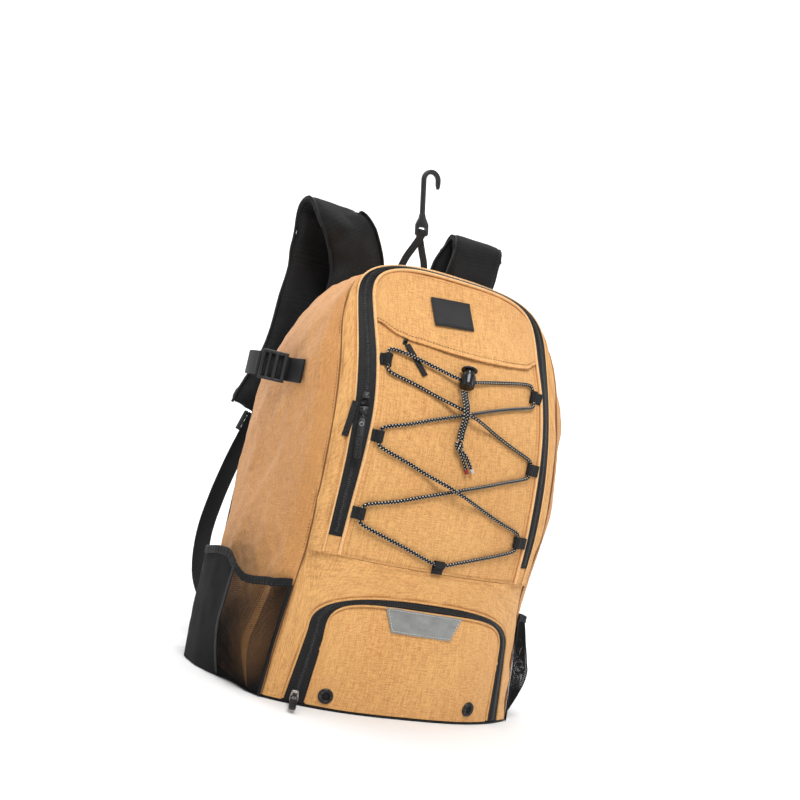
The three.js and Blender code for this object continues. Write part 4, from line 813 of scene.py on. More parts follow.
def side_panel_form(side):
    split = 0.36

    def form(u, v):
        station = SIDE_SEAM + (LAST_STATION - SIDE_SEAM) * u
        low = wall_point(station, side, WALL_FOOT + (UPPER_FOOT - WALL_FOOT) * v / split)
        climb = np.clip((v - split) / (1 - split), 0, 1) * ARCH_END
        high = body_point(station, side * (1 - climb))
        return np.where((v < split)[:, None], low, high)
    return form


def side_panel_relief(u, v, places, wide, tall):
    seam, back = u * wide, (1 - u) * wide
    z = places[:, 2]
    belly = 0.0022 * np.sin(math.pi * u) * np.clip((z - 0.12) / 0.08, 0, 1)
    slack = 0.0022 * crumple(places, 0.085, 21) * np.clip(seam / 0.02, 0, 1)
    fine = 0.0007 * crumple(places, 0.022, 22)
    pulls = 0.0007 * np.sin(z / 0.0085 + 1.5 * np.sin(z / 0.031)) * np.exp(-((seam / 0.013) ** 2))
    return belly + slack + fine + pulls + sink(seam, 0.0016, 0.0024) + sink(back, 0.0012, 0.003)


def canvas_panel(node, columns, rows, form, relief, material=canvas):
    sheet = cloth_sheet(node + "_canvas", columns, rows, form, CANVAS_THICKNESS, relief)
    return finish_piece(sheet, material, [node])


gusset_form = arch_strip_form(ZIP_EDGE, 1.985)
top_form = arch_strip_form(SIDE_SEAM, LAST_STATION, -(1 - ARCH_END) + 0.0016, 1 - ARCH_END - 0.0016)
front = canvas_panel("front_panel", 120, 150, front_panel_form, front_panel_relief)
flap = canvas_panel("top_pocket_flap", 120, 56, flap_form, flap_relief)
gusset = canvas_panel("front_gusset", 14, 520, gusset_form, gusset_relief)
top = canvas_panel("top_panel", 70, 90, top_form, top_panel_relief)
# The side panels take the darker canvas copy, which is painted shade.
for side_name, side in SIDES:
    canvas_panel(f"side_panel_{side_name}", 90, 190, side_panel_form(side), side_panel_relief, shaded_side_canvas)
print("body panels:", [piece.name for piece in (front, flap, gusset, top)])

# %% [markdown]
# Under the two legs of the main zip the band goes on as canvas, down to the seam over the shoe
# compartment. These short ends are sheets of their own, as they are on the real bag.

# %% Zip ends
def zip_end_form(side):
    def form(u, v):
        return wall_point(u * 0.985, side, UPPER_FOOT + (ZIP_END_HEIGHT - 0.0004 - UPPER_FOOT) * v)
    return form


def zip_end_relief(u, v, places, wide, tall):
    return (sink(np.minimum(u, 1 - u) * wide, 0.0012, 0.002) + sink(v * tall, 0.0010, 0.002)
            + 0.0006 * crumple(places, 0.02, 30))


for side_name, side in SIDES:
    canvas_panel(f"zip_end_{side_name}", 20, 24, zip_end_form(side), zip_end_relief)

# %% [markdown]
# The shoe compartment's front is cut by an arched zip. The rim, the tape and the door share one
# ring of points, so the gap between them stays even. The door is a plain panel with soft
# upright streaks; the rim swells over the shoe compartment and is pulled in at the seam.

# %% Shoe compartment front
DOOR_INNER = {"foot_half": 0.346, "shoulder_half": 0.331, "shoulder": 0.436, "top": 0.728, "roundness": 4.2}
DOOR_OUTER = {"foot_half": 0.412, "shoulder_half": 0.383, "shoulder": 0.503, "top": 0.795, "roundness": 2.6}


def door_point(line, ring, grow=0.0):
    climb, side = ring_parts(ring)
    shoulder = line["shoulder"] * SEAM_HEIGHT
    top = line["top"] * SEAM_HEIGHT + grow
    leg = np.minimum(climb / LEG_SHARE, 1)
    half = (line["foot_half"] + (line["shoulder_half"] - line["foot_half"]) * leg) * BODY_WIDTH + grow
    angle = np.clip((climb - LEG_SHARE) / (1 - LEG_SHARE), 0, 1) * (math.pi / 2)
    power = 2 / line["roundness"]
    on_leg = climb <= LEG_SHARE
    x = side * half * np.where(on_leg, 1, np.maximum(np.cos(angle), 0) ** power)
    z = np.where(on_leg, WALL_FOOT + (shoulder - WALL_FOOT) * leg,
                 shoulder + (top - shoulder) * np.sin(angle) ** power)
    return x, z


def even_ring(line):
    """Ring values at an even step along the door's edge."""
    ring = np.linspace(-1, 1, 1201)
    x, z = door_point(line, ring)
    reach = np.concatenate([[0], np.cumsum(np.hypot(np.diff(x), np.diff(z)))])
    return lambda v: np.interp(v * reach[-1], reach, ring)


def rim_point(ring):
    climb, side = ring_parts(ring)
    z = WALL_FOOT + (LOWER_TOP - WALL_FOOT) * np.minimum(climb / LEG_SHARE, 1)
    half = line_at("seam_half", z) * BODY_WIDTH - 0.0005
    share = np.where(climb <= LEG_SHARE, 1, 1 - (climb - LEG_SHARE) / (1 - LEG_SHARE))
    return side * half * share, z


def shoe_rim_form(u, v):
    ring = even_ring(DOOR_OUTER)(v)
    x0, z0 = door_point(DOOR_OUTER, ring, 0.0004)
    x1, z1 = rim_point(ring)
    return lower_front_point(x0 + (x1 - x0) * u, z0 + (z1 - z0) * u)


def shoe_rim_relief(u, v, places, wide, tall):
    inner, outer = u * wide, (1 - u) * wide
    z = places[:, 2]
    folds = 0.0016 * crumple(places, 0.034, 41) * np.clip(1.2 - np.abs(z - 0.08) / 0.09, 0.25, 1)
    pulls = 0.0007 * np.sin(z / 0.0075 + 2.0 * np.sin(z / 0.026)) * np.exp(-((outer / 0.012) ** 2))
    return folds + pulls + sink(inner, 0.0008, 0.002) + sink(outer, 0.0016, 0.0026)


def shoe_tape_form(u, v):
    ring = even_ring(DOOR_INNER)(v)
    x0, z0 = door_point(DOOR_INNER, ring, 0.0004)
    x1, z1 = door_point(DOOR_OUTER, ring, 0.0)
    return lower_front_point(x0 + (x1 - x0) * u, z0 + (z1 - z0) * u)


def shoe_door_form(u, v):
    share = 2 * u - 1
    share = np.sign(share) * (1 - (1 - np.abs(share)) ** 1.5)
    line = DOOR_INNER
    shoulder, top = line["shoulder"] * SEAM_HEIGHT, line["top"] * SEAM_HEIGHT
    rise = arch_rise(share, line["roundness"])
    z = WALL_FOOT + (shoulder + (top - shoulder) * rise - WALL_FOOT) * v
    leg = np.minimum((z - WALL_FOOT) / (shoulder - WALL_FOOT), 1)
    half = (line["foot_half"] + (line["shoulder_half"] - line["foot_half"]) * leg) * BODY_WIDTH
    return lower_front_point(share * half, z)


def shoe_door_relief(u, v, places, wide, tall):
    side = np.minimum(u, 1 - u) * wide
    soft = 0.0010 * crumple(places * np.array([1, 1, 0.45]), 0.045, 47)
    edges = sink(side, 0.0010, 0.0025) + sink((1 - v) * tall, 0.0010, 0.0025)
    return soft * np.clip(side / 0.01, 0, 1) + edges


rim = canvas_panel("shoe_front", 36, 330, shoe_rim_form, shoe_rim_relief)
door = canvas_panel("shoe_door", 120, 70, shoe_door_form, shoe_door_relief)
print("shoe compartment:", rim.name, door.name)

# %% [markdown]
# Small things that repeat, such as stitches and zip teeth, are modelled once and copied along a
# line. Each copy is turned to the line's own direction and the cloth's normal there, and all
# the copies of one row become one mesh.

# %% Copies along a line
def line_on(form, u, spacing, start=0.0, end=1.0):
    """Places, tangents and outward normals at an even spacing along a line of a form."""
    v = np.linspace(start, end, 800)
    fixed = np.full_like(v, u)
    places = form(fixed, v)
    reach = reach_of(places)
    count = max(int(reach[-1] / spacing), 1)
    even = np.interp((np.arange(count) + 0.5) / count * reach[-1], reach, v)
    fixed = np.full_like(even, u)
    step = 0.004
    side = form(np.minimum(fixed + step, 1), even) - form(np.maximum(fixed - step, 0), even)
    ahead = form(fixed, np.minimum(even + step, 1)) - form(fixed, np.maximum(even - step, 0))
    tangents = unit(ahead)
    normals = unit(np.cross(side, ahead))
    points = form(fixed, even)
    outward = np.sum(normals * (points - np.array(BODY_AXIS))) >= 0
    return points, tangents, normals if outward else -normals


def transposed_form(form):
    return lambda u, v: form(v, u)


def copies(name, template, places, tangents, normals, lift=0.0):
    """One mesh of copies. The template's X runs along the line and its Z points outwards."""
    corners = places_of(template)
    across = unit(np.cross(normals, tangents))
    outs = unit(np.cross(tangents, across))
    points = (places[:, None, :] + outs[:, None, :] * (corners[None, :, 2:3] + lift)
              + tangents[:, None, :] * corners[None, :, 0:1] + across[:, None, :] * corners[None, :, 1:2])
    faces = [tuple(polygon.vertices) for polygon in template.data.polygons]
    count = len(corners)
    all_faces = [tuple(i + k * count for i in face) for k in range(len(places)) for face in faces]
    piece = add_piece(name, points.reshape(-1, 3), all_faces)
    uv_from(piece, *np.tile(corners[:, :2], (len(places), 1)).T)
    make_solid_outward(piece)
    bpy.ops.object.shade_smooth()
    return piece


def remove(*pieces):
    for piece in pieces:
        bpy.data.objects.remove(piece, do_unlink=True)


def rounded_block(name, size, place=(0, 0, 0), bevel=0.0004, segments=2):
    """A block with rounded edges, from a cube primitive."""
    deselect()
    bpy.ops.mesh.primitive_cube_add(size=1, location=place)
    block = bpy.context.object
    block.name = block.data.name = name
    block.scale = size
    bpy.ops.object.transform_apply(location=True, rotation=False, scale=True)
    apply_modifier(block, "rounded edges", "BEVEL", width=bevel, segments=segments, limit_method="ANGLE")
    smooth_within(45)
    return block


def joined(name, *pieces):
    deselect()
    for piece in pieces:
        piece.select_set(True)
    bpy.context.view_layer.objects.active = pieces[0]
    bpy.ops.object.join()
    whole = bpy.context.object
    whole.name = whole.data.name = name
    return whole


# A stitch is a short thread that dips at both ends
deselect()
bpy.ops.mesh.primitive_uv_sphere_add(segments=6, ring_count=5, radius=1)
stitch = bpy.context.object
stitch.data.transform(Matrix.Diagonal((0.0013, 0.00036, 0.00034, 1)))
STITCH_PITCH = 0.0034


def stitch_row(name, form, u, thread, start=0.01, end=0.99, lift=0.0001):
    row = copies(name, stitch, *line_on(form, u, STITCH_PITCH, start, end), lift)
    return finish_piece(row, thread)


def stitches_along(name, path, normals, thread, lift=0.0001, pitch=STITCH_PITCH):
    """Stitches on a path of points that has its own normals."""
    reach = reach_of(path)
    count = max(int(reach[-1] / pitch), 1)
    even = (np.arange(count) + 0.5) / count * reach[-1]
    places = read_at(even, reach, path)
    outs = unit(read_at(even, reach, np.array(normals)))
    tangents = unit(read_at(even, reach, np.gradient(path, axis=0)))
    return finish_piece(copies(name, stitch, places, tangents, outs, lift), thread)


# %% [markdown]
# A nylon zip is a woven tape with a coil along its middle. The tape is one sheet that dips a
# little beside the coil. Each turn of the coil is a small rounded bar, copied every 1.9 mm, and
# the canvas edge beside the tape is rolled over a thin cord, which is the tan piping.

# %% Zips
TAPE_THICKNESS = 0.0012
COIL_PITCH = 0.0019
COIL_LIFT = 0.0008


def tape_relief(u, v, places, wide, tall):
    across = (u - 0.5) * wide
    raised = np.exp(-((across / 0.0036) ** 2))
    groove = np.exp(-((np.abs(across) - 0.0052) / 0.0016) ** 2)
    return 0.0007 * raised - 0.0007 * groove


main_tape_form = arch_strip_form(FIRST_EDGE, 0.985, foot=ZIP_END_HEIGHT)
main_tape = cloth_sheet("main_zip_tape", 18, 440, main_tape_form, TAPE_THICKNESS, tape_relief)
finish_piece(main_tape, zip_cloth, ["main_zipper_tape"])
shoe_tape = cloth_sheet("shoe_zip_tape", 18, 260, shoe_tape_form, TAPE_THICKNESS, tape_relief)
finish_piece(shoe_tape, zip_cloth, ["shoe_zipper_tape"])

coil_turn = rounded_block("coil_turn", (0.0012, 0.0050, 0.0011), bevel=0.00042, segments=1)
for zip_name, form in (("main_zip_coil", main_tape_form), ("shoe_zip_coil", shoe_tape_form)):
    coil = copies(zip_name, coil_turn, *line_on(form, 0.5, COIL_PITCH, 0.004, 0.996), COIL_LIFT)
    finish_piece(coil, coil_plastic)
    print(zip_name, "faces:", len(coil.data.polygons))
for name, form, u in (("main_zip_stitches_inner", main_tape_form, 0.12),
                      ("main_zip_stitches_outer", main_tape_form, 0.88),
                      ("shoe_zip_stitches_inner", shoe_tape_form, 0.14),
                      ("shoe_zip_stitches_outer", shoe_tape_form, 0.86)):
    stitch_row(name, form, u, black_thread)


def piping(name, form, u, radius, material, lift):
    places, _, normals = line_on(form, u, 0.003)
    path = places + normals * lift
    cord = sweep(name, path, round_section(radius, 10), normals)
    return finish_piece(cord, material)


whole_front_edge = arch_strip_form(FIRST_EDGE, ZIP_EDGE)
# A lighter copy of the tan canvas for the rolled edges: a painted highlight along the front piping and the
# gusset edge.
highlit_rolled_canvas = make_canvas("tan_canvas_painted_highlight", (0.90, 0.56, 0.26), (0.82, 0.47, 0.19), (0.60, 0.29, 0.09))
piping("front_panel_piping", whole_front_edge, 0.0, 0.0017, highlit_rolled_canvas, 0.0005)
# A thin dark cord sunk just under the piping: a painted shadow along the front seam.
piping("front_panel_piping_shadow", whole_front_edge, 0.0, 0.0008, seam_thread_and_shadow, -0.0006)
piping("gusset_edge_roll", whole_front_edge, 0.985, 0.0010, highlit_rolled_canvas, 0.0002)
piping("shoe_door_edge_roll", shoe_tape_form, 0.0, 0.0011, canvas, 0.0002)
piping("shoe_rim_edge_roll", shoe_tape_form, 1.0, 0.0011, canvas, 0.0002)
stitch_row("front_panel_topstitch_left", front_panel_form, 0.030, tan_thread)
stitch_row("front_panel_topstitch_right", front_panel_form, 0.970, tan_thread)

# %% Seams of the body
stitch_row("gusset_seam_stitches", gusset_form, 0.80, tan_thread)
for side_name, side in SIDES:
    form = side_panel_form(side)
    stitch_row(f"side_seam_stitches_{side_name}", form, 0.028, seam_thread_and_shadow, 0.34, 0.99)
    # A thin dark cord sunk under the side seam: a painted shadow along it.
    piping(f"side_seam_shadow_{side_name}", form, 0.0, 0.0007, seam_thread_and_shadow, -0.0010)
    piping(f"top_side_seam_{side_name}", transposed_form(form), 1.0, 0.0022, canvas, -0.0016)
stitch_row("flap_hem_stitches", transposed_form(flap_form), 0.062, seam_thread_and_shadow, 0.03, 0.97)
stitch_row("flap_edge_stitches", transposed_form(flap_form), 0.93, tan_thread, 0.06, 0.94)
stitch_row("front_seam_stitches", transposed_form(front_panel_form), 0.012, tan_thread)
stitch_row("shoe_rim_inner_stitches", shoe_rim_form, 0.06, tan_thread)
stitch_row("shoe_rim_seam_stitches", shoe_rim_form, 0.93, tan_thread, 0.27, 0.73)
stitch_row("gusset_inner_stitches", gusset_form, 0.14, tan_thread)
print("stitch rows made")

# %% [markdown]
# The lacing cord is one long sweep from one end of the cord lock, twice down the front and back.
# It lies on the cloth between the loops and rises over itself where it crosses.

# %% Lacing cord and its loops
LACING_SHIFT = -2.5
LACING_ROUTE = [
    (-9.0, 343.2, .9), (-17.5, 344.4, .6), (-40, 350, .3), (-64, 355, .3), (-84, 358, 0),
    (-89, 353, 0), (-89, 346, 0), (-89, 339, 0), (-85, 334.5, 0), (-58, 328, 0), (-34, 321.5, 0),
    (-10, 314, 1), (2, 310, 1),
    (14, 306, 1), (38, 298, 0), (62, 289, 0), (84, 282, 0), (90, 278, 0), (90, 271, 0),
    (90, 264, 0), (84, 260, 0), (58, 252, 0), (34, 244, 0), (12, 237, 0), (0, 233, 0),
    (-12, 229, 0), (-36, 221, 0), (-60, 212.5, 0), (-86, 205, 0), (-92, 201, 0), (-92, 194, 0),
    (-92, 187, 0), (-87, 183, 0), (-64, 176, 0), (-40, 169, 0), (-16, 161.5, 0), (-7, 159, 0),
    (0, 159, 0), (7, 159, 0), (16, 161.5, 0), (40, 169, 0), (64, 176, 0), (87, 183, 0),
    (92, 187, 0), (92, 194, 0), (92, 201, 0), (86, 205, 0), (60, 212.5, 0), (36, 221, 0),
    (12, 229, 1), (0, 233, 1), (-12, 237, 1), (-34, 244, 0), (-58, 252, 0), (-84, 260, 0),
    (-90, 264, 0), (-90, 271, 0), (-90, 278, 0), (-84, 282, 0), (-62, 289, 0), (-38, 298, 0),
    (-14, 306, 0), (2, 311, 0), (10, 314, 0), (34, 321.5, 0), (58, 328, 0), (85, 334.5, 0),
    (89, 339, 0), (89, 346, 0), (89, 353, 0), (84, 358, 0), (60, 355, 0), (32, 350, 0),
    (5.5, 344, .4),
]
lacing_path = smooth_path([on_front(x + LACING_SHIFT, z, CORD_LIFT - 0.9 + lift * (CROSSING_LIFT + 0.6))
                           for x, z, lift in LACING_ROUTE], 0.0022)
lacing = sweep("lacing_cord_braid", lacing_path, round_section(CORD_RADIUS, 12))
finish_piece(lacing, cord_braid, ["lacing_cord"])

LOOP_WIDTH = 0.012
LOOP_RADIUS = 0.0027


def loop_tab(name, node, x, z, way):
    """Folded webbing: a round fold over the cord, with both ends sewn flat on the cloth."""
    tail = 0.010 if way[1] else float(line_at("edge_half", z * MM)) * BODY_WIDTH - abs(x) * MM - 0.0008
    def at(reach, lift):
        return on_front(x + way[0] * reach, z + way[1] * reach, lift)

    fold = [at(-reach * 1000, lift * 1000) for reach, lift in (
        (-tail, 0.0021), (-tail * 0.62, 0.0022), (-0.0045, 0.0030), (-0.0022, 0.0052), (0.0000, 0.0060),
        (0.0022, 0.0050), (LOOP_RADIUS + 0.0003, 0.0029), (0.0022, 0.0012), (-0.0020, 0.0008),
        (-tail * 0.6, 0.0007), (-tail, 0.0007))]
    path = smooth_path(fold, 0.0008)
    across = np.array([-way[1], 0, way[0]], float)
    tangents = unit(np.gradient(path, axis=0))
    tab = sweep(name, path, strap_section(LOOP_WIDTH, 0.0011), unit(np.cross(across, tangents)))
    finish_piece(tab, webbing, [node])
    bar, normals = [], []
    for share in np.linspace(-0.42, 0.42, 9):
        dx, dz = across[0] * share * LOOP_WIDTH * 1000, across[2] * share * LOOP_WIDTH * 1000
        bar.append(on_front(x + way[0] * 6.5 + dx, z + way[1] * 6.5 + dz, 3.1))
        normals.append(on_front(x + dx, z + dz, 10) - on_front(x + dx, z + dz, 0))
    stitches_along(name + "_bartack", np.array(bar), normals, black_thread, pitch=0.0013)


for level, z, half in (("top", 346, 89), ("middle", 271, 90), ("low", 194, 92)):
    loop_tab(f"loop_left_{level}", f"lacing_loop_left_{level}", -half + LACING_SHIFT, z, (-1, 0))
    loop_tab(f"loop_right_{level}", f"lacing_loop_right_{level}", half + LACING_SHIFT, z, (1, 0))
loop_tab("loop_bottom", "lacing_loop_bottom", LACING_SHIFT, 159, (0, -1))
print("lacing cord:", round(path_length(lacing_path), 3), "m")

# %% [markdown]
# The cord lock is a glossy barrel turned on a lathe, with a spring button that has a flange.
# The button rides its own body, because it can be pressed. Two dipped cord ends, one red and
# one white, hang below the knot that joins the two tails.

# %% Cord lock, knot and tips
LOCK_PLACE = Matrix((
    (-0.98442, -0.00726, 0.17566, -0.0060677),
    (0.07529, -0.92028, 0.38394, -0.12035666),
    (0.15887, 0.39118, 0.90650, 0.34532644),
    (0, 0, 0, 1),
))


def turned(name, profile, sides=40):
    """A lathe body: the profile's (radius, height) pairs are spun about the Z axis."""
    points = []
    for radius, height in profile:
        for k in range(sides):
            angle = 2 * math.pi * k / sides
            points.append((radius * math.cos(angle), radius * math.sin(angle), height))
    faces = []
    for i in range(len(profile) - 1):
        for k in range(sides):
            n = (k + 1) % sides
            faces.append((i * sides + k, i * sides + n, (i + 1) * sides + n, (i + 1) * sides + k))
    faces.append(tuple(range(sides))[::-1])
    last = (len(profile) - 1) * sides
    faces.append(tuple(range(last, last + sides)))
    body = add_piece(name, points, faces)
    body.data.uv_layers.new(name="UVMap")
    make_solid_outward(body)
    smooth_within(38)
    return body


def arc_profile(centre_r, centre_z, radius, start, end, steps=6):
    return [(centre_r + radius * math.cos(math.radians(a)), centre_z + radius * math.sin(math.radians(a)))
            for a in np.linspace(start, end, steps)]


BARREL = ([(0.0010, -0.0075)] + arc_profile(0.0062, -0.0059, 0.0016, -90, -20)
          + [(0.0080, -0.0040), (0.0080, 0.0030)] + arc_profile(0.0066, 0.0056, 0.0012, 10, 80)
          + [(0.0061, 0.0072), (0.0061, 0.0050), (0.0057, 0.0050), (0.0010, 0.0049)])
barrel = turned("cord_lock_barrel", BARREL)
barrel.data.transform(LOCK_PLACE)
finish_piece(barrel, gloss_black, ["cord_lock_body"])
BUTTON = ([(0.0010, 0.0034), (0.0049, 0.0034), (0.0049, 0.0112), (0.0056, 0.0117)]
          + arc_profile(0.0076, 0.0128, 0.0010, -80, 80) + [(0.0062, 0.0142)]
          + arc_profile(0.0030, 0.0140, 0.0018, 60, 90, 3) + [(0.0006, 0.0158)])
button = turned("cord_lock_cap", BUTTON)
button.data.transform(LOCK_PLACE)
finish_piece(button, gloss_black, ["cord_lock_button"], "lock_button")


def knot_turn(name, radius, twist, squash):
    path = []
    centre = Vector(on_front(-7.5, 279, CORD_LIFT + 0.6))
    for k in range(49):
        angle = 2 * math.pi * k / 48
        local = Vector((radius * math.cos(angle), radius * math.sin(angle) * squash,
                        radius * 0.75 * math.sin(angle + twist)))
        local.rotate(Matrix.Rotation(twist, 3, "Y"))
        path.append(centre + local)
    return sweep(name, np.array([tuple(p) for p in path]), round_section(CORD_RADIUS * 0.96, 12))


knot_parts = [knot_turn("knot_turn", 0.0031, twist, 0.62) for twist in (0.2, 1.2, 2.2)]
knot = joined("cord_knot_braid", *knot_parts)
finish_piece(knot, cord_braid, ["cord_knot"])

TIP_ROUTES = {
    "left": [(-8, 277), (-2, 270), (4, 261), (8, 253)],
    "right": [(-7, 277), (2, 271), (9, 263), (14.5, 255)],
}
tips = {}
for tip_name, route in TIP_ROUTES.items():
    tip_path = smooth_path([on_front(x, z, CORD_LIFT - 0.6) for x, z in route], 0.0008)
    tips[tip_name] = sweep(f"cord_tip_{tip_name}_braid", tip_path, round_section(CORD_RADIUS, 12))
    finish_piece(tips[tip_name], cord_braid)
    dipped = sweep(f"cord_end_{tip_name}", tip_path[-7:], round_section(CORD_RADIUS * 1.08, 12))
    finish_piece(dipped, red_tip if tip_name == "left" else white_tip)
    tips[tip_name + "_end"] = dipped

for tail_name, side in (("cord_tail_left", "left"), ("cord_tail_right", "right")):
    piece, path = tails[tail_name]
    path_length(path)
print("cord tails declared:", list(tails))

# %% [markdown]
# The zip sliders and their pullers are small metal and plastic parts. Each is built flat at the
# origin from simple solids with rounded edges, then laid on the bag in its own frame: X along
# the width, Y out from the bag and Z up the zip.

# %% Sliders and pullers
OUTWARDS = (0, 1, 0)


def frame_at(place, ways):
    turn = Matrix([Vector(way) for way in ways]).transposed().to_4x4()
    return Matrix.Translation(Vector(place)) @ turn


def outlined(name, outline, low, high, bevel=0.0005, segments=3):
    """A plate with rounded edges. The outline is a list of (x, z), the plate lies between two y."""
    points = [(x, y, z) for y in (low, high) for x, z in outline]
    count = len(outline)
    faces = [tuple(range(count)), tuple(range(count, 2 * count))[::-1]]
    faces += [(i, (i + 1) % count, count + (i + 1) % count, count + i) for i in range(count)]
    plate = add_piece(name, points, faces)
    plate.data.uv_layers.new(name="UVMap")
    shape = bmesh.new()
    shape.from_mesh(plate.data)
    bmesh.ops.recalc_face_normals(shape, faces=shape.faces)
    shape.to_mesh(plate.data)
    shape.free()
    apply_modifier(plate, "rounded edges", "BEVEL", width=bevel, segments=segments, limit_method="ANGLE",
                   angle_limit=math.radians(50))
    smooth_within(40)
    return plate


def ring_path(radius, sides=32, centre=(0, 0), squash=1.0):
    angles = np.linspace(0, 2 * math.pi, sides + 1)
    return np.stack([centre[0] + radius * np.cos(angles), 0 * angles,
                     centre[1] + radius * squash * np.sin(angles)], -1)


SLIDER_OUTLINE = [(-.0026, -.0065), (.0026, -.0065), (.0034, -.0052), (.0043, .0022), (.0043, .0052),
                  (.0030, .0065), (-.0030, .0065), (-.0043, .0052), (-.0043, .0022), (-.0034, -.0052)]


def slider(name, node, place, material):
    """Pin at the origin: the body lies below it, with a bridge over the pin."""
    top = outlined(name + "_top", SLIDER_OUTLINE, -0.0050 + 0.0009, -0.0050 + 0.0026)
    base = outlined(name + "_base", [(x * 0.92, z * 0.95) for x, z in SLIDER_OUTLINE], -0.0058, -0.0048)
    spine = rounded_block(name + "_spine", (0.0030, 0.0012, 0.0085), (0, -0.0022, 0.0003), 0.0004)
    lugs = [rounded_block(name + "_lug", (0.0014, 0.0036, 0.0042), (side * 0.0025, -0.0012, 0), 0.0006)
            for side in (-1, 1)]
    pin = rounded_block(name + "_pin", (0.0064, 0.0014, 0.0014), (0, 0, 0), 0.0005, 3)
    whole = joined(name, top, base, spine, *lugs, pin)
    whole.data.transform(place)
    return finish_piece(whole, material, [node] if node else ())


def puller(name, node, place, grip_end, body, ring_grey):
    """A rubber grip with raised ribs on a plastic eye. It hangs from the pin along -Z."""
    eye = sweep(name + "_eye", ring_path(0.00165, 24), round_section(0.00055, 10), start_way=OUTWARDS)
    neck = outlined(name + "_neck", [(-.0011, -.0024), (.0011, -.0024), (.0020, -.0075), (-.0020, -.0075)],
                    -0.0007, 0.0007, 0.0004)
    w = 0.0035
    outline = [(-w * .72, -.0064), (w * .72, -.0064), (w, -.0085), (w, -grip_end + .0024),
               (w * .80, -grip_end + .0006), (w * .45, -grip_end), (-w * .45, -grip_end),
               (-w * .80, -grip_end + .0006), (-w, -grip_end + .0024), (-w, -.0085)]
    grip = outlined(name + "_grip", outline, -0.0011, 0.0009, 0.0006)
    rim = [(x * 0.80, 0.0009, z) for x, z in outline if z < -0.012]
    rim += [(w * .8, .0009, -.0165), (-w * .8, .0009, -.0165)]
    rim = sorted(rim, key=lambda p: math.atan2(p[2] + (grip_end + .0165) / 2, p[0]))
    raised = sweep(name + "_rim", smooth_path(rim + rim[:1], 0.0006), round_section(0.00042, 8),
                   start_way=OUTWARDS)
    ribs = []
    count = int((grip_end - 0.0215) / 0.0031)
    for k in range(count):
        z = -grip_end + 0.0034 + k * 0.0031
        rib = [(-.0019, .0010, z + .0011), (-.0012, .0012, z + .0001), (0, .0012, z - .0003),
               (.0012, .0012, z + .0001), (.0019, .0010, z + .0011)]
        ribs.append(sweep(name + "_rib", smooth_path(rib, 0.0005), round_section(0.00052, 8),
                          start_way=OUTWARDS))
    whole = joined(name, eye, neck, grip, raised, *ribs)
    whole.data.transform(place)
    finish_piece(whole, satin_black, [node], body)
    ring = sweep(name + "_ring", ring_path(0.0019, 28, (0, -0.0122)) + np.array([0, 0.0010, 0]),
                 round_section(0.00050, 8), start_way=OUTWARDS)
    ring.data.transform(place)
    finish_piece(ring, ring_grey, (), body)


MAIN_PIN = (-0.11295183, -0.11824631, 0.2909814)
MAIN_WAYS = ((-0.88425, 0.46163, -0.07073), (-0.46645, -0.86554, 0.18239), (0.02297, 0.19427, 0.98068))
UPPER_PIN = tuple(np.array(MAIN_PIN) + 0.0145 * np.array(MAIN_WAYS[2]) + 0.0001 * np.array(MAIN_WAYS[1]))
SHOE_PIN = (-0.11936601, -0.12070641, 0.01209741)
SHOE_WAYS = ((-0.89774, 0.44042, -0.00948), (-0.10937, -0.20197, 0.97327), (0.42673, 0.87478, 0.22948))
shoe_lying = frame_at(SHOE_PIN, SHOE_WAYS)
main_lying = frame_at(MAIN_PIN, MAIN_WAYS)
SHOE_TILT = 1.32
shoe_upright = shoe_lying @ Matrix.Rotation(SHOE_TILT, 4, "X")
print("shoe slider out:", tuple(round(v, 3) for v in shoe_upright.col[1]))
slider("main_slider_lower_metal", "main_slider_lower", main_lying, dark_metal)
slider("main_slider_upper_metal", "main_slider_upper",
       frame_at(UPPER_PIN, MAIN_WAYS) @ Matrix.Rotation(math.pi, 4, "Y"), dark_metal)
grey_rubber = make_plastic("grey_rubber", (0.16, 0.16, 0.16), 0.45)
puller("main_puller_rubber", "main_puller", main_lying, 0.046, "main_puller_body", grey_rubber)
slider("shoe_slider_metal", "shoe_slider", shoe_upright, silver_metal)
puller("shoe_puller_rubber", "shoe_puller", shoe_lying, 0.033, "shoe_puller_body", grey_rubber)


def tape_strip(name, node, points, face, width=0.0065):
    path = smooth_path(points, 0.0012)
    strip = sweep(name, path, strap_section(width, 0.0015), [face] * len(path))
    finish_piece(strip, webbing, [node])
    for side in (-0.36, 0.36):
        across = unit(np.cross(np.gradient(path, axis=0), np.array(face)))
        line = path + across * side * width + unit(np.array(face, float)) * 0.0007
        stitches_along(f"{name}_stitches_{side}", line, [face] * len(path), black_thread,
                       pitch=0.0024)


def off_wall(station, z_mm, lift_mm):
    z = z_mm * MM
    place = wall_point(station, -1, z)
    along = wall_point(station + 0.02, -1, z) - wall_point(station - 0.02, -1, z)
    rise = wall_point(station, -1, z + 0.001) - wall_point(station, -1, z - 0.001)
    normal = unit(np.cross(along, rise))
    normal = normal if normal[1] < 0 else -normal
    return place + normal * lift_mm * MM


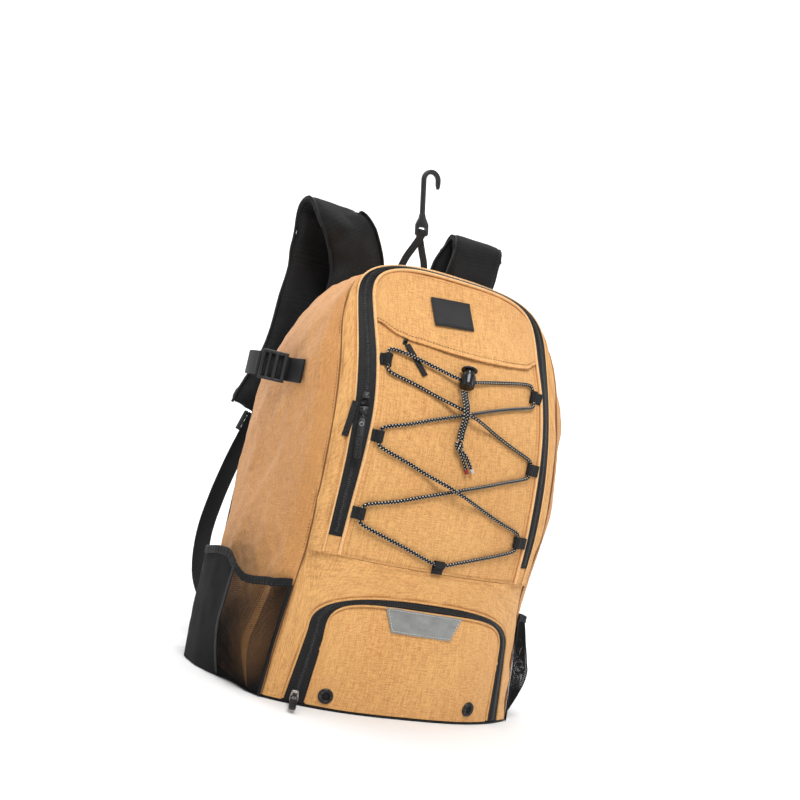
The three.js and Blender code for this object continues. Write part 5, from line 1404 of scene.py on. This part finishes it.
tape_strip("main_tape_puller_strip", "main_tape_puller",
           [off_wall(.92, 299, 3.4), off_wall(1.02, 289, 2.6), off_wall(1.12, 277, 2.0),
            off_wall(1.24, 264, 1.6)], (-.5, -.87, 0))
tape_strip("top_pocket_puller_strip", "top_pocket_puller",
           [on_front(x, z, 1.6) for x, z in ((-70, 367), (-64, 358), (-57.5, 349), (-51, 340))],
           (0, -.9, .4))
hidden_out = Vector((0, -0.93, 0.36)).normalized()
hidden_up = Vector((0.32, 0.34, 0.885)).normalized()
hidden_up = (hidden_up - hidden_out * hidden_up.dot(hidden_out)).normalized()
hidden = frame_at(on_front(-71.5, 369.5, 2.4), (hidden_out.cross(hidden_up), hidden_out, hidden_up))
slider("top_pocket_slider_metal", (), hidden @ Matrix.Scale(0.62, 4), dark_metal)
print("sliders and pullers made")

# %% [markdown]
# A cloth label is sewn on the flap and a reflective patch on the shoe door, both bare. Two
# metal eyelets let air into the shoe compartment; fine mesh closes each from behind.

# %% Patches and eyelets
def patch_form(point_of, centre, tilt, top, bottom, height, lift):
    """A flat patch of trapezoid outline, laid on a front face."""
    def form(u, v):
        half = (bottom + (top - bottom) * v) / 2
        x, z = (2 * u - 1) * half, (v - 0.5) * height
        px = (centre[0] + x * math.cos(tilt) - z * math.sin(tilt)) * MM
        pz = (centre[1] + x * math.sin(tilt) + z * math.cos(tilt)) * MM
        place = point_of(px, pz)
        return place + np.array([0, -0.93, 0.36]) * lift
    return form


def patch(name, node, form, material, thread, inset):
    def relief(u, v, places, wide, tall):
        edge = np.minimum(np.minimum(u, 1 - u) * wide, np.minimum(v, 1 - v) * tall)
        pressed = sink(edge, 0.0004, 0.0009) + sink(np.abs(edge - inset), 0.00025, 0.0007)
        return pressed + 0.00018 * crumple(places, 0.02, 61)

    piece = cloth_sheet(name, 70, 40, form, 0.0010, relief)
    finish_piece(piece, material, [node])
    wide, tall = sheet_measures(form)
    du, dv = inset / wide, inset / tall
    across = np.linspace(du, 1 - du, 90)
    up = np.linspace(dv, 1 - dv, 60)
    lines = [(across, np.full_like(across, dv)), (across, np.full_like(across, 1 - dv)),
             (np.full_like(up, du), up), (np.full_like(up, 1 - du), up)]
    for index, (u, v) in enumerate(lines):
        path = form(u, v)
        stitches_along(f"{name}_stitches_{index}", path, [(0, -0.95, 0.3)] * len(path), thread,
                       0.0001, 0.0030)


white_thread = make_webbing("pale_thread", (0.50, 0.50, 0.47), (0.78, 0.78, 0.74), 700.0)
patch("label_patch_cloth", "label_patch", patch_form(front_point, (-16, 411), 0.09, 48, 48, 29, 0.0052),
      label_cloth, black_thread, 0.0016)
patch("reflective_patch_cloth", "reflective_patch",
      patch_form(lower_front_point, (-5, 96.5), -0.01, 90, 69, 24, 0.0017), reflective,
      white_thread, 0.0018)

eyelet_mesh = make_black_cloth("eyelet_mesh", (0.004, 0.004, 0.004), (0.03, 0.03, 0.03), 900.0)
for side_name, x, z in (("left", -89.5, 14.0), ("right", 73.5, 16.5)):
    ring_profile = ([(0.0036, 0.0002)] + arc_profile(0.0050, 0.0010, 0.0014, 175, 95, 6)
                    + arc_profile(0.0058, 0.0004, 0.0018, 75, 5, 6) + [(0.0076, -0.0002)])
    eyelet = turned("eyelet_ring", ring_profile, 44)
    centre = Vector(on_lower(x, z, 0.2))
    out = (Vector(on_lower(x, z, 10)) - Vector(on_lower(x, z, 0))).normalized()
    facing = out.to_track_quat("Z", "Y").to_matrix().to_4x4()
    shape = bmesh.new()
    shape.from_mesh(eyelet.data)
    caps = [face for face in shape.faces if len(face.verts) > 4]
    bmesh.ops.delete(shape, geom=caps, context="FACES")
    shape.to_mesh(eyelet.data)
    shape.free()
    activate(eyelet)
    apply_modifier(eyelet, "rolled metal", "SOLIDIFY", thickness=0.0005, offset=-1)
    eyelet.name = eyelet.data.name = f"eyelet_{side_name}_metal"
    eyelet.data.transform(Matrix.Translation(centre) @ facing)
    finish_piece(eyelet, dark_metal, [f"eyelet_{side_name}"])
    backing = turned(f"eyelet_{side_name}_mesh",
                     [(0.0005, 0.0), (0.0035, 0.0001), (0.0042, -0.0002), (0.0042, -0.0006)], 32)
    backing.data.transform(Matrix.Translation(centre + out * 0.0010) @ facing)
    finish_piece(backing, eyelet_mesh)
print("patches and eyelets made")

# %% [markdown]
# Each side has a stretch pocket. Its front half is net, knotted from real threads, so the canvas
# shows through it. Its rear half is a closed black sleeve: real solid cloth at the back, and towards
# the net a black sheet that is painted shade inside the pocket. A gathered band holds the mouth.

# %% Side pockets
POCKET_ROWS = np.array([
    (0, .96, .02, .02, .02), (.110, .95, .06, .34, .10), (.241, .93, .08, .76, .22),
    (.369, .89, .12, .88, .34), (.440, .88, .24, .88, .52), (.497, .95, .46, .90, .74),
    (.545, 1.04, .70, .94, .84), (.640, 1.03, .96, 1.06, .98),
    (.754, .98, .96, 1.04, .99), (.900, .93, .60, .66, .56), (1, .90, .10, .10, .06)])
POCKET_HEIGHT = 0.122
POCKET_SWELL = 0.026
POCKET_CLOTH = 0.0012
SLEEVE_START = 0.50
BINDING_HEIGHT = 0.0085
POCKET_START, POCKET_RUN = 2.06, 3.9


def pocket_row(along):
    """The table read with a smooth curve, so that the pocket's mouth has no corners."""
    spread = np.linspace(-1, 1, 9) * 0.035
    weights = np.exp(-(spread / 0.022) ** 2)
    weights /= weights.sum()
    return [sum(w * np.interp(np.clip(along + s, 0, 1), POCKET_ROWS[:, 0], POCKET_ROWS[:, column])
                for w, s in zip(weights, spread)) for column in range(1, 5)]


def level_normal(station, side, z):
    step = 0.02
    along = (wall_point(np.minimum(station + step, 6), side, z)
             - wall_point(np.maximum(station - step, 2), side, z))
    normal = np.stack([along[:, 1], -along[:, 0], 0 * along[:, 0]], -1)
    normal *= np.sign(normal[:, :1] * side + 1e-9)
    return unit(normal)


def pocket_point(side, along, height, lift=0.0):
    mouth, foot, middle, lip = pocket_row(along)
    station = POCKET_START + POCKET_RUN * along
    z = 0.001 + (mouth * POCKET_HEIGHT - 0.001) * height
    low = foot + (middle - foot) * np.sin(np.minimum(2 * height, 1) * math.pi / 2)
    high = middle + (lip - middle) * (height - 0.5) * 2
    stand = np.where(height <= 0.5, low, high)
    out = level_normal(station, side, z)
    return wall_point(station, side, z) + out * (0.0006 + stand * POCKET_SWELL + lift)[:, None]


def sleeve_and_shade_form(side):
    def form(u, v):
        along = SLEEVE_START + (1 - SLEEVE_START) * u
        return pocket_point(side, along, v, np.zeros_like(v))
    return form


def sleeve_relief(u, v, places, wide, tall):
    hang = 0.0010 * np.sin(u * wide / 0.011 + 2.0 * np.sin(v * 3)) * np.exp(-((1 - v) * tall / 0.022) ** 2)
    return hang + 0.0016 * crumple(places, 0.055, 71) * np.sin(math.pi * np.clip(v, 0, 1))


def net_sheet(name, side, knot=0.0011, thread=0.00064):
    """Diamonds between threads: a lattice mesh whose edges become round threads."""
    columns, rows = int(0.092 / knot), int(POCKET_HEIGHT * 0.94 / knot)
    index, flat, faces = {}, [], []
    for b in range(rows + 1):
        for a in range(columns + 1):
            if (a + b) % 2 == 0:
                index[a, b] = len(flat)
                flat.append((a / columns, b / rows))
    for b in range(1, rows):
        for a in range(1, columns):
            if (a + b) % 2 == 1:
                faces.append((index[a - 1, b], index[a, b - 1], index[a + 1, b], index[a, b + 1]))
    flat = np.array(flat)
    along = flat[:, 0] * SLEEVE_START
    points = pocket_point(side, along, flat[:, 1] * 0.97, 0.0006 * crumple(np.c_[flat, 0 * along], 0.4, 77))
    net = add_piece(name, points, faces)
    apply_modifier(net, "threads", "WIREFRAME", thickness=thread, use_even_offset=False)
    net.data.uv_layers.new(name="UVMap")
    bpy.ops.object.shade_smooth()
    return net


def pocket_floor_form(side):
    def form(u, v):
        outer = pocket_point(side, u, np.zeros_like(u), np.zeros_like(u))
        inner = wall_point(POCKET_START + POCKET_RUN * u, side, np.full_like(u, 0.0016))
        place = inner + (outer - inner) * v[:, None]
        place[:, 2] = 0.0022
        return place
    return form


for side_name, side in SIDES:
    net = net_sheet(f"pocket_net_{side_name}", side)
    finish_piece(net, net_thread, [f"side_pocket_{side_name}"])
    # The black sheet behind the net: the pocket's solid cloth at the rear, and painted shade of the
    # pocket's inside where it reaches towards the net.
    sleeve = cloth_sheet(f"pocket_sleeve_and_shade_{side_name}", 70, 60, sleeve_and_shade_form(side), POCKET_CLOTH,
                         sleeve_relief)
    finish_piece(sleeve, lining_cloth)
    floor_piece = cloth_sheet(f"pocket_floor_{side_name}", 60, 8, pocket_floor_form(side), POCKET_CLOTH,
                              away_from=(0, 0, 0.3))
    finish_piece(floor_piece, lining_cloth)
    along = np.linspace(0.0, 1.0, 190)
    station = POCKET_START + POCKET_RUN * along
    mouth = pocket_point(side, along, np.full_like(along, 1 - 0.5 * BINDING_HEIGHT / POCKET_HEIGHT),
                         0.0007 + 0.0003 * np.sin(along * 260) * np.clip(along * 6, 0, 1))
    ways = level_normal(station, side, mouth[:, 2])
    band = sweep(f"pocket_band_{side_name}", mouth, strap_section(BINDING_HEIGHT, 0.0024), ways)
    finish_piece(band, binding_cloth, [f"pocket_binding_{side_name}"])
    low_line = pocket_point(side, along, np.full_like(along, 1 - BINDING_HEIGHT / POCKET_HEIGHT + 0.012),
                            0.0021 + 0 * along)
    stitches_along(f"pocket_band_stitches_{side_name}", low_line, ways, black_thread)
    seam_line = pocket_point(side, np.full(40, SLEEVE_START), np.linspace(0.02, 0.93, 40),
                             np.full(40, 0.0003))
    seam = sweep(f"pocket_middle_seam_{side_name}", seam_line, strap_section(0.006, 0.0012),
                 level_normal(np.full(40, POCKET_START + POCKET_RUN * SLEEVE_START), side,
                              seam_line[:, 2]))
    finish_piece(seam, binding_cloth)
    edge_line = pocket_point(side, np.full(40, 0.006), np.linspace(0.0, 0.95, 40), np.full(40, 0.0003))
    edge = sweep(f"pocket_front_seam_{side_name}", edge_line, strap_section(0.004, 0.0014),
                 level_normal(np.full(40, 2.09), side, edge_line[:, 2]))
    finish_piece(edge, binding_cloth)
    print("pocket", side_name, "net faces:", len(net.data.polygons))

# %% [markdown]
# Webbing straps are flat sweeps whose face is given at a few points and turned evenly between
# them. The side straps run through plastic ladder locks with three bars, and end square.

# %% Side straps and buckles
WEBBING_WIDTH, WEBBING_THICK = 0.025, 0.0018


def strap_along(name, points, faces, width, thickness, step=0.0025):
    points = np.array([tuple(p) for p in points], float)
    path = smooth_path(points, step)
    nearest = [int(np.argmin(np.linalg.norm(path - p, axis=1))) for p in points]
    nearest = np.maximum.accumulate(nearest)
    ways = unit(read_at(np.arange(len(path)), nearest, np.array(faces, float)))
    return sweep(name, path, strap_section(width, thickness), ways), path, ways


def ladder_lock(name, wide, tall, thick, place, bars):
    """Rails run along X, bars stand along Z between them, and Y looks outwards."""
    rail = 0.0030
    parts = [rounded_block(name, (wide, thick, rail), (0, 0, side * (tall - rail) / 2), 0.0009, 3)
             for side in (-1, 1)]
    for x, y, bar_wide, bar_thick in bars:
        parts.append(rounded_block(name, (bar_wide, bar_thick, tall - rail), (x, y, 0), 0.0009, 3))
    whole = joined(name, *parts)
    whole.data.transform(place)
    return whole


SIDE_STRAP_RUN = [(.05, -.52), (.07, -.26), (.10, -.04), (.18, 0), (.94, .16), (1, .28), (1, .52),
                  (.90, .78), (.64, .97), (.34, 1.04)]
for side_name, side, start, rear in (("left", -1, -17.9, -.21), ("right", 1, 0.0, -.29)):
    run = SIDE_STRAP_RUN + [(rear, 1.0)]
    points = [(side * (155.3 + out * 31) * MM, (start + along * 66) * MM, 0.3179) for out, along in run]
    flat = np.array(points)
    ahead = unit(np.gradient(flat, axis=0))
    faces = np.stack([ahead[:, 1], -ahead[:, 0], 0 * ahead[:, 0]], -1)
    faces *= np.sign(faces[:, :1] * side + 1e-9)
    for i in range(1, len(faces)):
        if np.dot(faces[i], faces[i - 1]) < 0:
            faces[i] *= -1
    strap, path, ways = strap_along(f"side_strap_{side_name}_webbing", points, faces, WEBBING_WIDTH,
                                    WEBBING_THICK)
    finish_piece(strap, webbing, [f"side_strap_{side_name}"])
    low, high = Vector(points[3]), Vector(points[4])
    run_way = (high - low).normalized()
    out_way = Vector((-run_way.y, run_way.x, 0)) * (-side)
    if out_way.y > 0:
        out_way = -out_way
    centre = (low + high) / 2 + out_way * 0.0030
    up_way = run_way.cross(out_way)
    buckle = ladder_lock(f"side_buckle_{side_name}_frame", 0.027, 0.031, 0.0050,
                         frame_at(centre, (run_way, out_way, up_way)),
                         [(-0.0112, 0.0003, 0.0042, 0.0044), (-0.0020, 0.0010, 0.0040, 0.0036),
                          (0.0055, 0.0002, 0.0034, 0.0030), (0.0118, 0.0002, 0.0034, 0.0036)])
    finish_piece(buckle, satin_black, [f"side_buckle_{side_name}"])
print("side straps made")

# %% [markdown]
# The fence hook is a flat moulded hook with a slotted foot. The haul loop passes through the
# slot and comes down on both sides of the top panel.

# %% Hook and haul loop
HOOK_PLACE = Matrix.Translation((0.0040, 0.0701, 0.5141)) @ Matrix.Rotation(-0.2, 4, "Y")
FOOT_HALF = 0.0080
FOOT_OUTLINE = [(-FOOT_HALF, -.0030), (-.0062, -.0050), (.0062, -.0050), (FOOT_HALF, -.0030),
                (FOOT_HALF, .0080), (.0066, .0115), (.0040, .0160), (.0030, .0210),
                (-.0030, .0210), (-.0040, .0160), (-.0066, .0115), (-FOOT_HALF, .0080)]
foot = outlined("hook_foot", FOOT_OUTLINE, -0.0029, 0.0029, 0.0011, 3)
slot_cutter = rounded_block("slot_cutter", (0.0100, 0.0200, 0.0050), (0, 0, 0.0025), 0.0012, 3)
activate(foot)
apply_modifier(foot, "slot", "BOOLEAN", object=slot_cutter)
remove(slot_cutter)
smooth_within(35)
SHANK_TOP, BEND_RADIUS = 0.0605, 0.0095
bend = [(0, 0, z) for z in np.linspace(0.019, SHANK_TOP, 16)]
bend += [(BEND_RADIUS - BEND_RADIUS * math.cos(a), 0, SHANK_TOP + BEND_RADIUS * math.sin(a))
         for a in np.linspace(0.12, math.pi, 26)]
bend += [(2 * BEND_RADIUS, 0, SHANK_TOP - d) for d in np.linspace(0.0012, 0.0100, 8)]


def hook_section(share):
    taper = 1 - 0.45 * max((share - 0.90) / 0.10, 0) ** 2
    return strap_section(0.0058 * taper, 0.0056 * taper, 0.34, 4)


rod = sweep("hook_rod", np.array(bend), hook_section, [(0, -1, 0)] * len(bend))
hook = joined("fence_hook_moulding", foot, rod)
hook.data.transform(HOOK_PLACE)
finish_piece(hook, satin_black, ["fence_hook"])

HAUL_ROUTE = [(-21, -4.35, 455.6), (-15.1, -4.35, 478.2), (-8.4, -4.35, 493), (-1.2, -4.35, 509),
              (-.2, -4.35, 514.4), (0, -3.05, 515.8), (0, 3.05, 515.8), (.2, 4.35, 514.4),
              (1.2, 4.35, 509), (8.4, 4.35, 493), (15.1, 4.35, 478.2), (21, 4.35, 454.3)]
HAUL_FACES = [(0, -1, 0)] * 5 + [(0, -.4, 1), (0, .4, 1)] + [(0, 1, 0)] * 5
haul = strap_along(
    "haul_loop_webbing", [((x + 4.0) * MM, (y + 70.1) * MM, z * MM) for x, y, z in HAUL_ROUTE],
    HAUL_FACES, 0.009, 0.0015, 0.0012)[0]
finish_piece(haul, webbing, ["haul_loop"])
print("hook and haul loop made")

# %% [markdown]
# The shoulder straps and the back pads are foam in cloth. Each starts a little slim, is remeshed
# evenly and blown up by a short cloth simulation that is kept within a few millimetres of its
# start. The sewn channels are pressed in afterwards and stitched.

# %% Padding
def blown_up(piece, voxel, cap, pressure=4.0):
    """Remeshes a closed piece and lets a cloth simulation fill it, within cap metres."""
    activate(piece)
    apply_modifier(piece, "even mesh", "REMESH", mode="VOXEL", voxel_size=voxel)
    start = places_of(piece)
    cloth = piece.modifiers.new("filling", "CLOTH")
    cloth.settings.use_pressure = True
    cloth.settings.uniform_pressure_force = pressure
    cloth.settings.quality = 5
    cloth.settings.tension_stiffness = 30
    cloth.settings.bending_stiffness = 2.0
    cloth.settings.effector_weights.gravity = 0
    for frame_number in range(1, 21):
        bpy.context.scene.frame_set(frame_number)
    bpy.ops.object.modifier_apply(modifier=cloth.name)
    bpy.context.scene.frame_set(1)
    moved = places_of(piece) - start
    length = np.linalg.norm(moved, axis=1, keepdims=True)
    moved *= np.minimum(1, cap / np.maximum(length, 1e-9))
    set_places(piece, start + moved)
    apply_modifier(piece, "finer", "SUBSURF", levels=1)
    bpy.ops.object.shade_smooth()
    return piece


def strap_places(piece, path, ways):
    """For each point of a strap: its nearest path index, its place across and its place out."""
    points = places_of(piece)
    across_ways = np.cross(unit(np.gradient(path, axis=0)), ways)
    nearest = np.empty(len(points), int)
    for first in range(0, len(points), 4000):
        gaps = np.linalg.norm(points[first:first + 4000, None, :] - path[None, :, :], axis=2)
        nearest[first:first + 4000] = gaps.argmin(axis=1)
    local = points - path[nearest]
    return points, nearest, np.sum(local * across_ways[nearest], 1), np.sum(local * ways[nearest], 1)


def measured(path, nearest, values, pick):
    """One value per path point, picked from the pad's own points near it and smoothed."""
    found = np.full(len(path), np.nan)
    for index in range(len(path)):
        close = values[np.abs(nearest - index) <= 1]
        if np.isfinite(close).any():
            found[index] = pick(close)
    known = np.isfinite(found)
    filled = np.interp(np.arange(len(path)), np.flatnonzero(known), found[known])
    return np.convolve(np.pad(filled, 2, mode="edge"), np.full(5, 0.2), mode="valid")


EDGE_HALF = 0.0026


def pad_section(width, thickness):
    """A foam strap: full in the middle, thin and round at its two sewn edges."""
    across = np.concatenate([np.linspace(-1, 1, 19), np.linspace(1, -1, 19)[1:-1]])
    swell = np.maximum(1 - np.abs(across) ** 6, 0) ** 0.6
    side = np.where(np.arange(len(across)) < 19, 1, -1)
    return [(a * width / 2, s * (EDGE_HALF + (thickness / 2 - EDGE_HALF) * w))
            for a, s, w in zip(across, side, swell)]


# %% Shoulder straps
STRAP_WIDTH, STRAP_THICK = 0.078, 0.011
STRAP_ROWS = [
    (46, 84, 102.3, 400, 0, (0, -1, 0)), (48, 90, 102.3, 432, 2, (0, -1, 0)),
    (53, 99, 104, 462, 4, (0, -1, 0)), (67, 103, 103, 488, 7, (0, -1, .1)),
    (84, 106, 107, 510, 9, (0, -.8, .6)), (89, 108, 120, 521, 10, (0, 0, 1)),
    (90, 107, 134, 512, 9, (0, .8, .6)), (88, 101, 142, 488, 5, (0, 1, .2)),
    (87, 93, 147, 448, 0, (0, 1, 0)), (88, 88, 149, 395, 0, (0, 1, 0)),
    (93, 93, 148, 348, 0, (0, 1, 0)), (103, 103, 146, 305, 0, (0, 1, 0)),
    (117, 117, 143, 262, 0, (0, 1, 0))]
LOWER_ROUTE = [(133, 143, 205), (143, 141, 160), (150, 134, 118), (150.5, 119, 82), (141, 100, 56),
               (131, 92.1, 38), (126, 92.1, 22)]
LOWER_FACES = [(.4, 1, .2)] * 5 + [(.3, 1, .3), (.1, 1, .4), (0, 1, 0), (0, 1, 0)]

for side_name, side in SIDES:
    points, faces = [], []
    for left_x, right_x, y, z, right_rise, face in STRAP_ROWS:
        x, rise = (left_x, 0) if side < 0 else (right_x, right_rise)
        points.append((side * x * MM, y * MM, (z + rise) * MM))
        faces.append(face)
    guide, path, ways = strap_along(f"strap_guide_{side_name}", points, faces, 0.01, 0.002, 0.004)
    remove(guide)
    slim = pad_section(STRAP_WIDTH - 0.002, STRAP_THICK - 0.0005)
    pad = sweep(f"shoulder_strap_{side_name}_pad", path, slim, ways)
    blown_up(pad, 0.0046, 0.005)
    places, nearest, across, out = strap_places(pad, path, ways)
    across_ways = np.cross(unit(np.gradient(path, axis=0)), ways)
    channel = STRAP_WIDTH / 2 - 0.0085
    press = sink(np.abs(across) - channel, 0.0016, 0.0022) * np.sign(out)
    creases = 0.0006 * crumple(places, 0.045, 83) * np.sign(out)
    places = places + ways[nearest] * (press + creases)[:, None]
    set_places(pad, places)
    uv_from(pad, across, nearest * 0.004)
    finish_piece(pad, strap_cloth, [f"shoulder_strap_{side_name}"])
    for edge in (-1, 1):
        half = measured(path, nearest, np.where(across * edge > 0.02, across * edge, np.nan), np.nanmax)
        hem_path = path + across_ways * edge * (half - 0.0006)[:, None]
        hem = sweep(f"strap_hem_{side_name}_{edge}", hem_path, strap_section(0.0028, 0.0046, 0.3), ways)
        finish_piece(hem, binding_cloth)
        for face in (-1, 1):
            near = (np.abs(across - edge * channel) < 0.003) & (out * face > 0)
            height = measured(path, nearest, np.where(near, out * face, np.nan), np.nanmin)
            line = path + across_ways * edge * channel + ways * (face * height)[:, None]
            stitches_along(f"strap_stitches_{side_name}_{edge}_{face}", line, ways * face, black_thread,
                           0.0, 0.0038)
    end = Vector(points[-1])
    down = Vector((side * 14, -3, -43)).normalized()
    route = [end + down * 0.0006, end + down * 0.024]
    route += [(side * x * MM, y * MM, z * MM) for x, y, z in LOWER_ROUTE]
    faces = [(side * f[0], f[1], f[2]) for f in LOWER_FACES]
    strap = strap_along(f"lower_webbing_{side_name}_strap", route, faces, WEBBING_WIDTH,
                        WEBBING_THICK)[0]
    finish_piece(strap, webbing, [f"lower_webbing_{side_name}"])
    out_way = Vector((side * .4, 1, .2))
    out_way = (out_way - down * out_way.dot(down)).normalized()
    adjuster = ladder_lock(f"strap_adjuster_{side_name}_frame", 0.024, 0.033, 0.0052,
                           frame_at(end + down * 0.0128 + out_way * 0.0018,
                                    (-down, out_way, (-down).cross(out_way))),
                           [(-0.0098, 0.0, 0.0040, 0.0046), (-0.0020, 0.0014, 0.0040, 0.0032),
                            (0.0052, 0.0014, 0.0036, 0.0032), (0.0100, 0.0, 0.0036, 0.0044)])
    finish_piece(adjuster, satin_black, [f"strap_adjuster_{side_name}"])
    print("shoulder strap", side_name, "faces:", len(pad.data.polygons))

# %% [markdown]
# The back panel is a black sheet with two tall pads and a low one, split by channels that let
# air through. The base is one stiff plate of bound cloth.

# %% Back panel and base
BACK_HALF, BACK_TOP = 0.1436, 0.450
BACK_DEPTH, BACK_BOW = 0.08803, 0.008
BACK_ARCH = {"shoulder": 0.546 * BODY_HEIGHT, "roundness": 2.1}


def back_half(z):
    over = np.clip((z - BACK_ARCH["shoulder"]) / (BACK_TOP - BACK_ARCH["shoulder"]), 0, 1)
    return BACK_HALF * arch_rise(over, BACK_ARCH["roundness"])


def back_face(x):
    return BACK_DEPTH + BACK_BOW * (1 - (x / BACK_HALF) ** 2)


def back_form(u, v):
    share = 2 * u - 1
    rise = arch_rise(share, BACK_ARCH["roundness"])
    z = WALL_FOOT + (BACK_ARCH["shoulder"] + (BACK_TOP - BACK_ARCH["shoulder"]) * rise - WALL_FOOT) * v
    x = share * BACK_HALF
    return np.stack([x, back_face(x) - 0.0022 - 0.002 * np.abs(share) ** 6, z], -1)


def back_relief(u, v, places, wide, tall):
    return 0.0007 * crumple(places, 0.06, 91)


back = cloth_sheet("back_panel_cloth", 90, 120, back_form, 0.0030, back_relief, (0, -0.5, 0.2))
finish_piece(back, lining_cloth, ["back_panel"])
climb = np.linspace(0, math.pi, 200)
power = 2 / BACK_ARCH["roundness"]
arch_x = -BACK_HALF * np.sign(np.cos(climb)) * np.abs(np.cos(climb)) ** power
arch_z = BACK_ARCH["shoulder"] + (BACK_TOP - BACK_ARCH["shoulder"]) * np.sin(climb) ** power
legs = np.linspace(WALL_FOOT, BACK_ARCH["shoulder"], 40)[:-1]
edge_x = np.concatenate([np.full(39, -BACK_HALF), arch_x, np.full(39, BACK_HALF)])
edge_z = np.concatenate([legs, arch_z, legs[::-1]])
edge_line = np.stack([edge_x * 0.992, np.full_like(edge_x, 0.0868), edge_z - 0.001 * (edge_z > 0.3)], -1)
edge_line = smooth_path(edge_line[::4], 0.004)
back_edge = sweep("back_panel_binding", edge_line, strap_section(0.0050, 0.0062, 0.35),
                  [OUTWARDS] * len(edge_line))
finish_piece(back_edge, binding_cloth)


def back_pad(name, x_low, x_high, z_low, z_high):
    """A cushion between the given lines, narrowed where the panel's arch closes in."""
    deselect()
    bpy.ops.mesh.primitive_cube_add(size=2)
    pad = bpy.context.object
    pad.name = pad.data.name = name
    bpy.ops.object.mode_set(mode="EDIT")
    bpy.ops.mesh.subdivide(number_cuts=24)
    bpy.ops.object.mode_set(mode="OBJECT")
    corners = places_of(pad)
    a, b = corners[:, 0], corners[:, 2]
    reach = np.hypot(a, b) / np.maximum(np.maximum(np.abs(a), np.abs(b)), 1e-9)
    squeeze = 1 - 0.10 * (reach - 1) / 0.4142
    z = (z_low + z_high) / 2 + b * squeeze * (z_high - z_low) / 2
    limit = back_half(z) - 0.009
    low, high = np.maximum(x_low, -limit), np.minimum(x_high, limit)
    x = (low + high) / 2 + a * squeeze * (high - low) / 2
    edge = np.maximum(1 - np.maximum(np.abs(a), np.abs(b)) ** 7, 0) ** 0.5
    y = back_face(x) - 0.0042 + corners[:, 1] * (0.0018 + 0.0030 * edge)
    set_places(pad, np.stack([x, y, z], -1))
    make_solid_outward(pad)
    blown_up(pad, 0.0044, 0.004)
    points = places_of(pad)
    uv_from(pad, points[:, 0], points[:, 2])
    finish_piece(pad, mesh_pad_cloth)
    return pad


back_pads = [back_pad("back_pad_left", -0.128, -0.012, 0.150, 0.385),
             back_pad("back_pad_right", 0.012, 0.128, 0.150, 0.385),
             back_pad("back_pad_low", -0.128, 0.128, 0.022, 0.130)]
print("back pads:", [len(pad.data.polygons) for pad in back_pads])

outline = [tuple(lower_front_point(np.array([x]), np.array([0.001]))[0][:2])
           for x in np.linspace(-0.471, 0.471, 40) * BODY_WIDTH]
right_line = [tuple(wall_point(np.array([station]), 1, np.array([0.001]))[0][:2])
              for station in np.linspace(2.05, 5.98, 26)]
outline += right_line + [(-x, y) for x, y in right_line[::-1]]
base = outlined("base_plate_cloth", [(x * 0.998, -y) for x, y in outline], 0.0, 0.0025, 0.0008, 2)
base.data.transform(Matrix(((1, 0, 0, 0), (0, 0, -1, 0), (0, 1, 0, 0), (0, 0, 0, 1))))
finish_piece(base, binding_cloth, ["base_panel"])
print("base faces:", len(base.data.polygons))

# %% [markdown]
# The pale floor and the soft light stand for a photo studio. Three of the lights brighten the
# backdrop alone. The floor isn't part of the bag.

# %% Floor and light
def add_floor():
    """One sheet: a level floor that curves up into a backdrop far behind the bag."""
    deselect()
    bpy.ops.mesh.primitive_grid_add(x_subdivisions=20, y_subdivisions=120, size=1)
    floor = bpy.context.object
    floor.name = floor.data.name = "studio_floor"
    wide, long, flat, radius = 16.0, 11.0, 6.0, 1.4
    for vertex in floor.data.vertices:
        reach = (vertex.co.y + 0.5) * long
        angle = min(max((reach - flat) / radius, 0), math.pi / 2)
        straight = max(reach - flat - radius * math.pi / 2, 0)
        y = -4.0 + min(reach, flat) + radius * math.sin(angle)
        vertex.co = (vertex.co.x * wide + 1.0, y, radius * (1 - math.cos(angle)) + straight)
    bpy.ops.object.shade_smooth()
    material, tree, shader = new_finish("studio_floor", Roughness=0.95, Specular_IOR_Level=0.0)
    pale = noise(tree, coordinates(tree, "Object", (0.5, 0.5, 0.5)), detail=2.0)
    tones = ramp(tree, pale, 0.3, 0.7, (0.80, 0.80, 0.80), (0.84, 0.84, 0.84))
    tree.links.new(tones, shader.inputs["Base Color"])
    floor.data.materials.append(material)


def add_softbox(name, place, target, size, power):
    deselect()
    bpy.ops.object.light_add(type="AREA", location=place)
    light = bpy.context.object
    light.name = name
    light.data.size = size
    light.data.energy = power
    light.rotation_euler = (Vector(target) - Vector(place)).to_track_quat("-Z", "Y").to_euler()


add_floor()
add_softbox("key_softbox", (-0.55, -1.5, 2.5), (0, 0, 0.30), 1.2, 58)
add_softbox("right_softbox", (1.6, -1.3, 1.1), (0, 0, 0.25), 1.0, 7)
add_softbox("left_softbox", (-1.9, -0.3, 1.3), (0, 0, 0.25), 1.0, 2)
add_softbox("top_softbox", (0.1, 0.5, 2.2), (0, 0, 0.3), 1.2, 10)
add_softbox("backdrop_light_left", (-1.2, 1.6, 3.2), (-0.8, 3.4, 0.9), 2.0, 80)
add_softbox("backdrop_light_right", (2.4, 1.6, 3.2), (2.2, 3.4, 0.9), 2.0, 80)
add_softbox("backdrop_light_far_right", (5.4, 1.2, 3.2), (5.0, 3.4, 0.9), 2.4, 120)
world = bpy.context.scene.world or bpy.data.worlds.new("studio")
bpy.context.scene.world = world
world.use_nodes = True
world.node_tree.nodes["Background"].inputs["Color"].default_value = (1, 1, 1, 1)
world.node_tree.nodes["Background"].inputs["Strength"].default_value = 0.30
bpy.context.scene.view_settings.view_transform = "Standard"
bpy.context.view_layer.update()

# %% The end
remove(stitch, coil_turn)
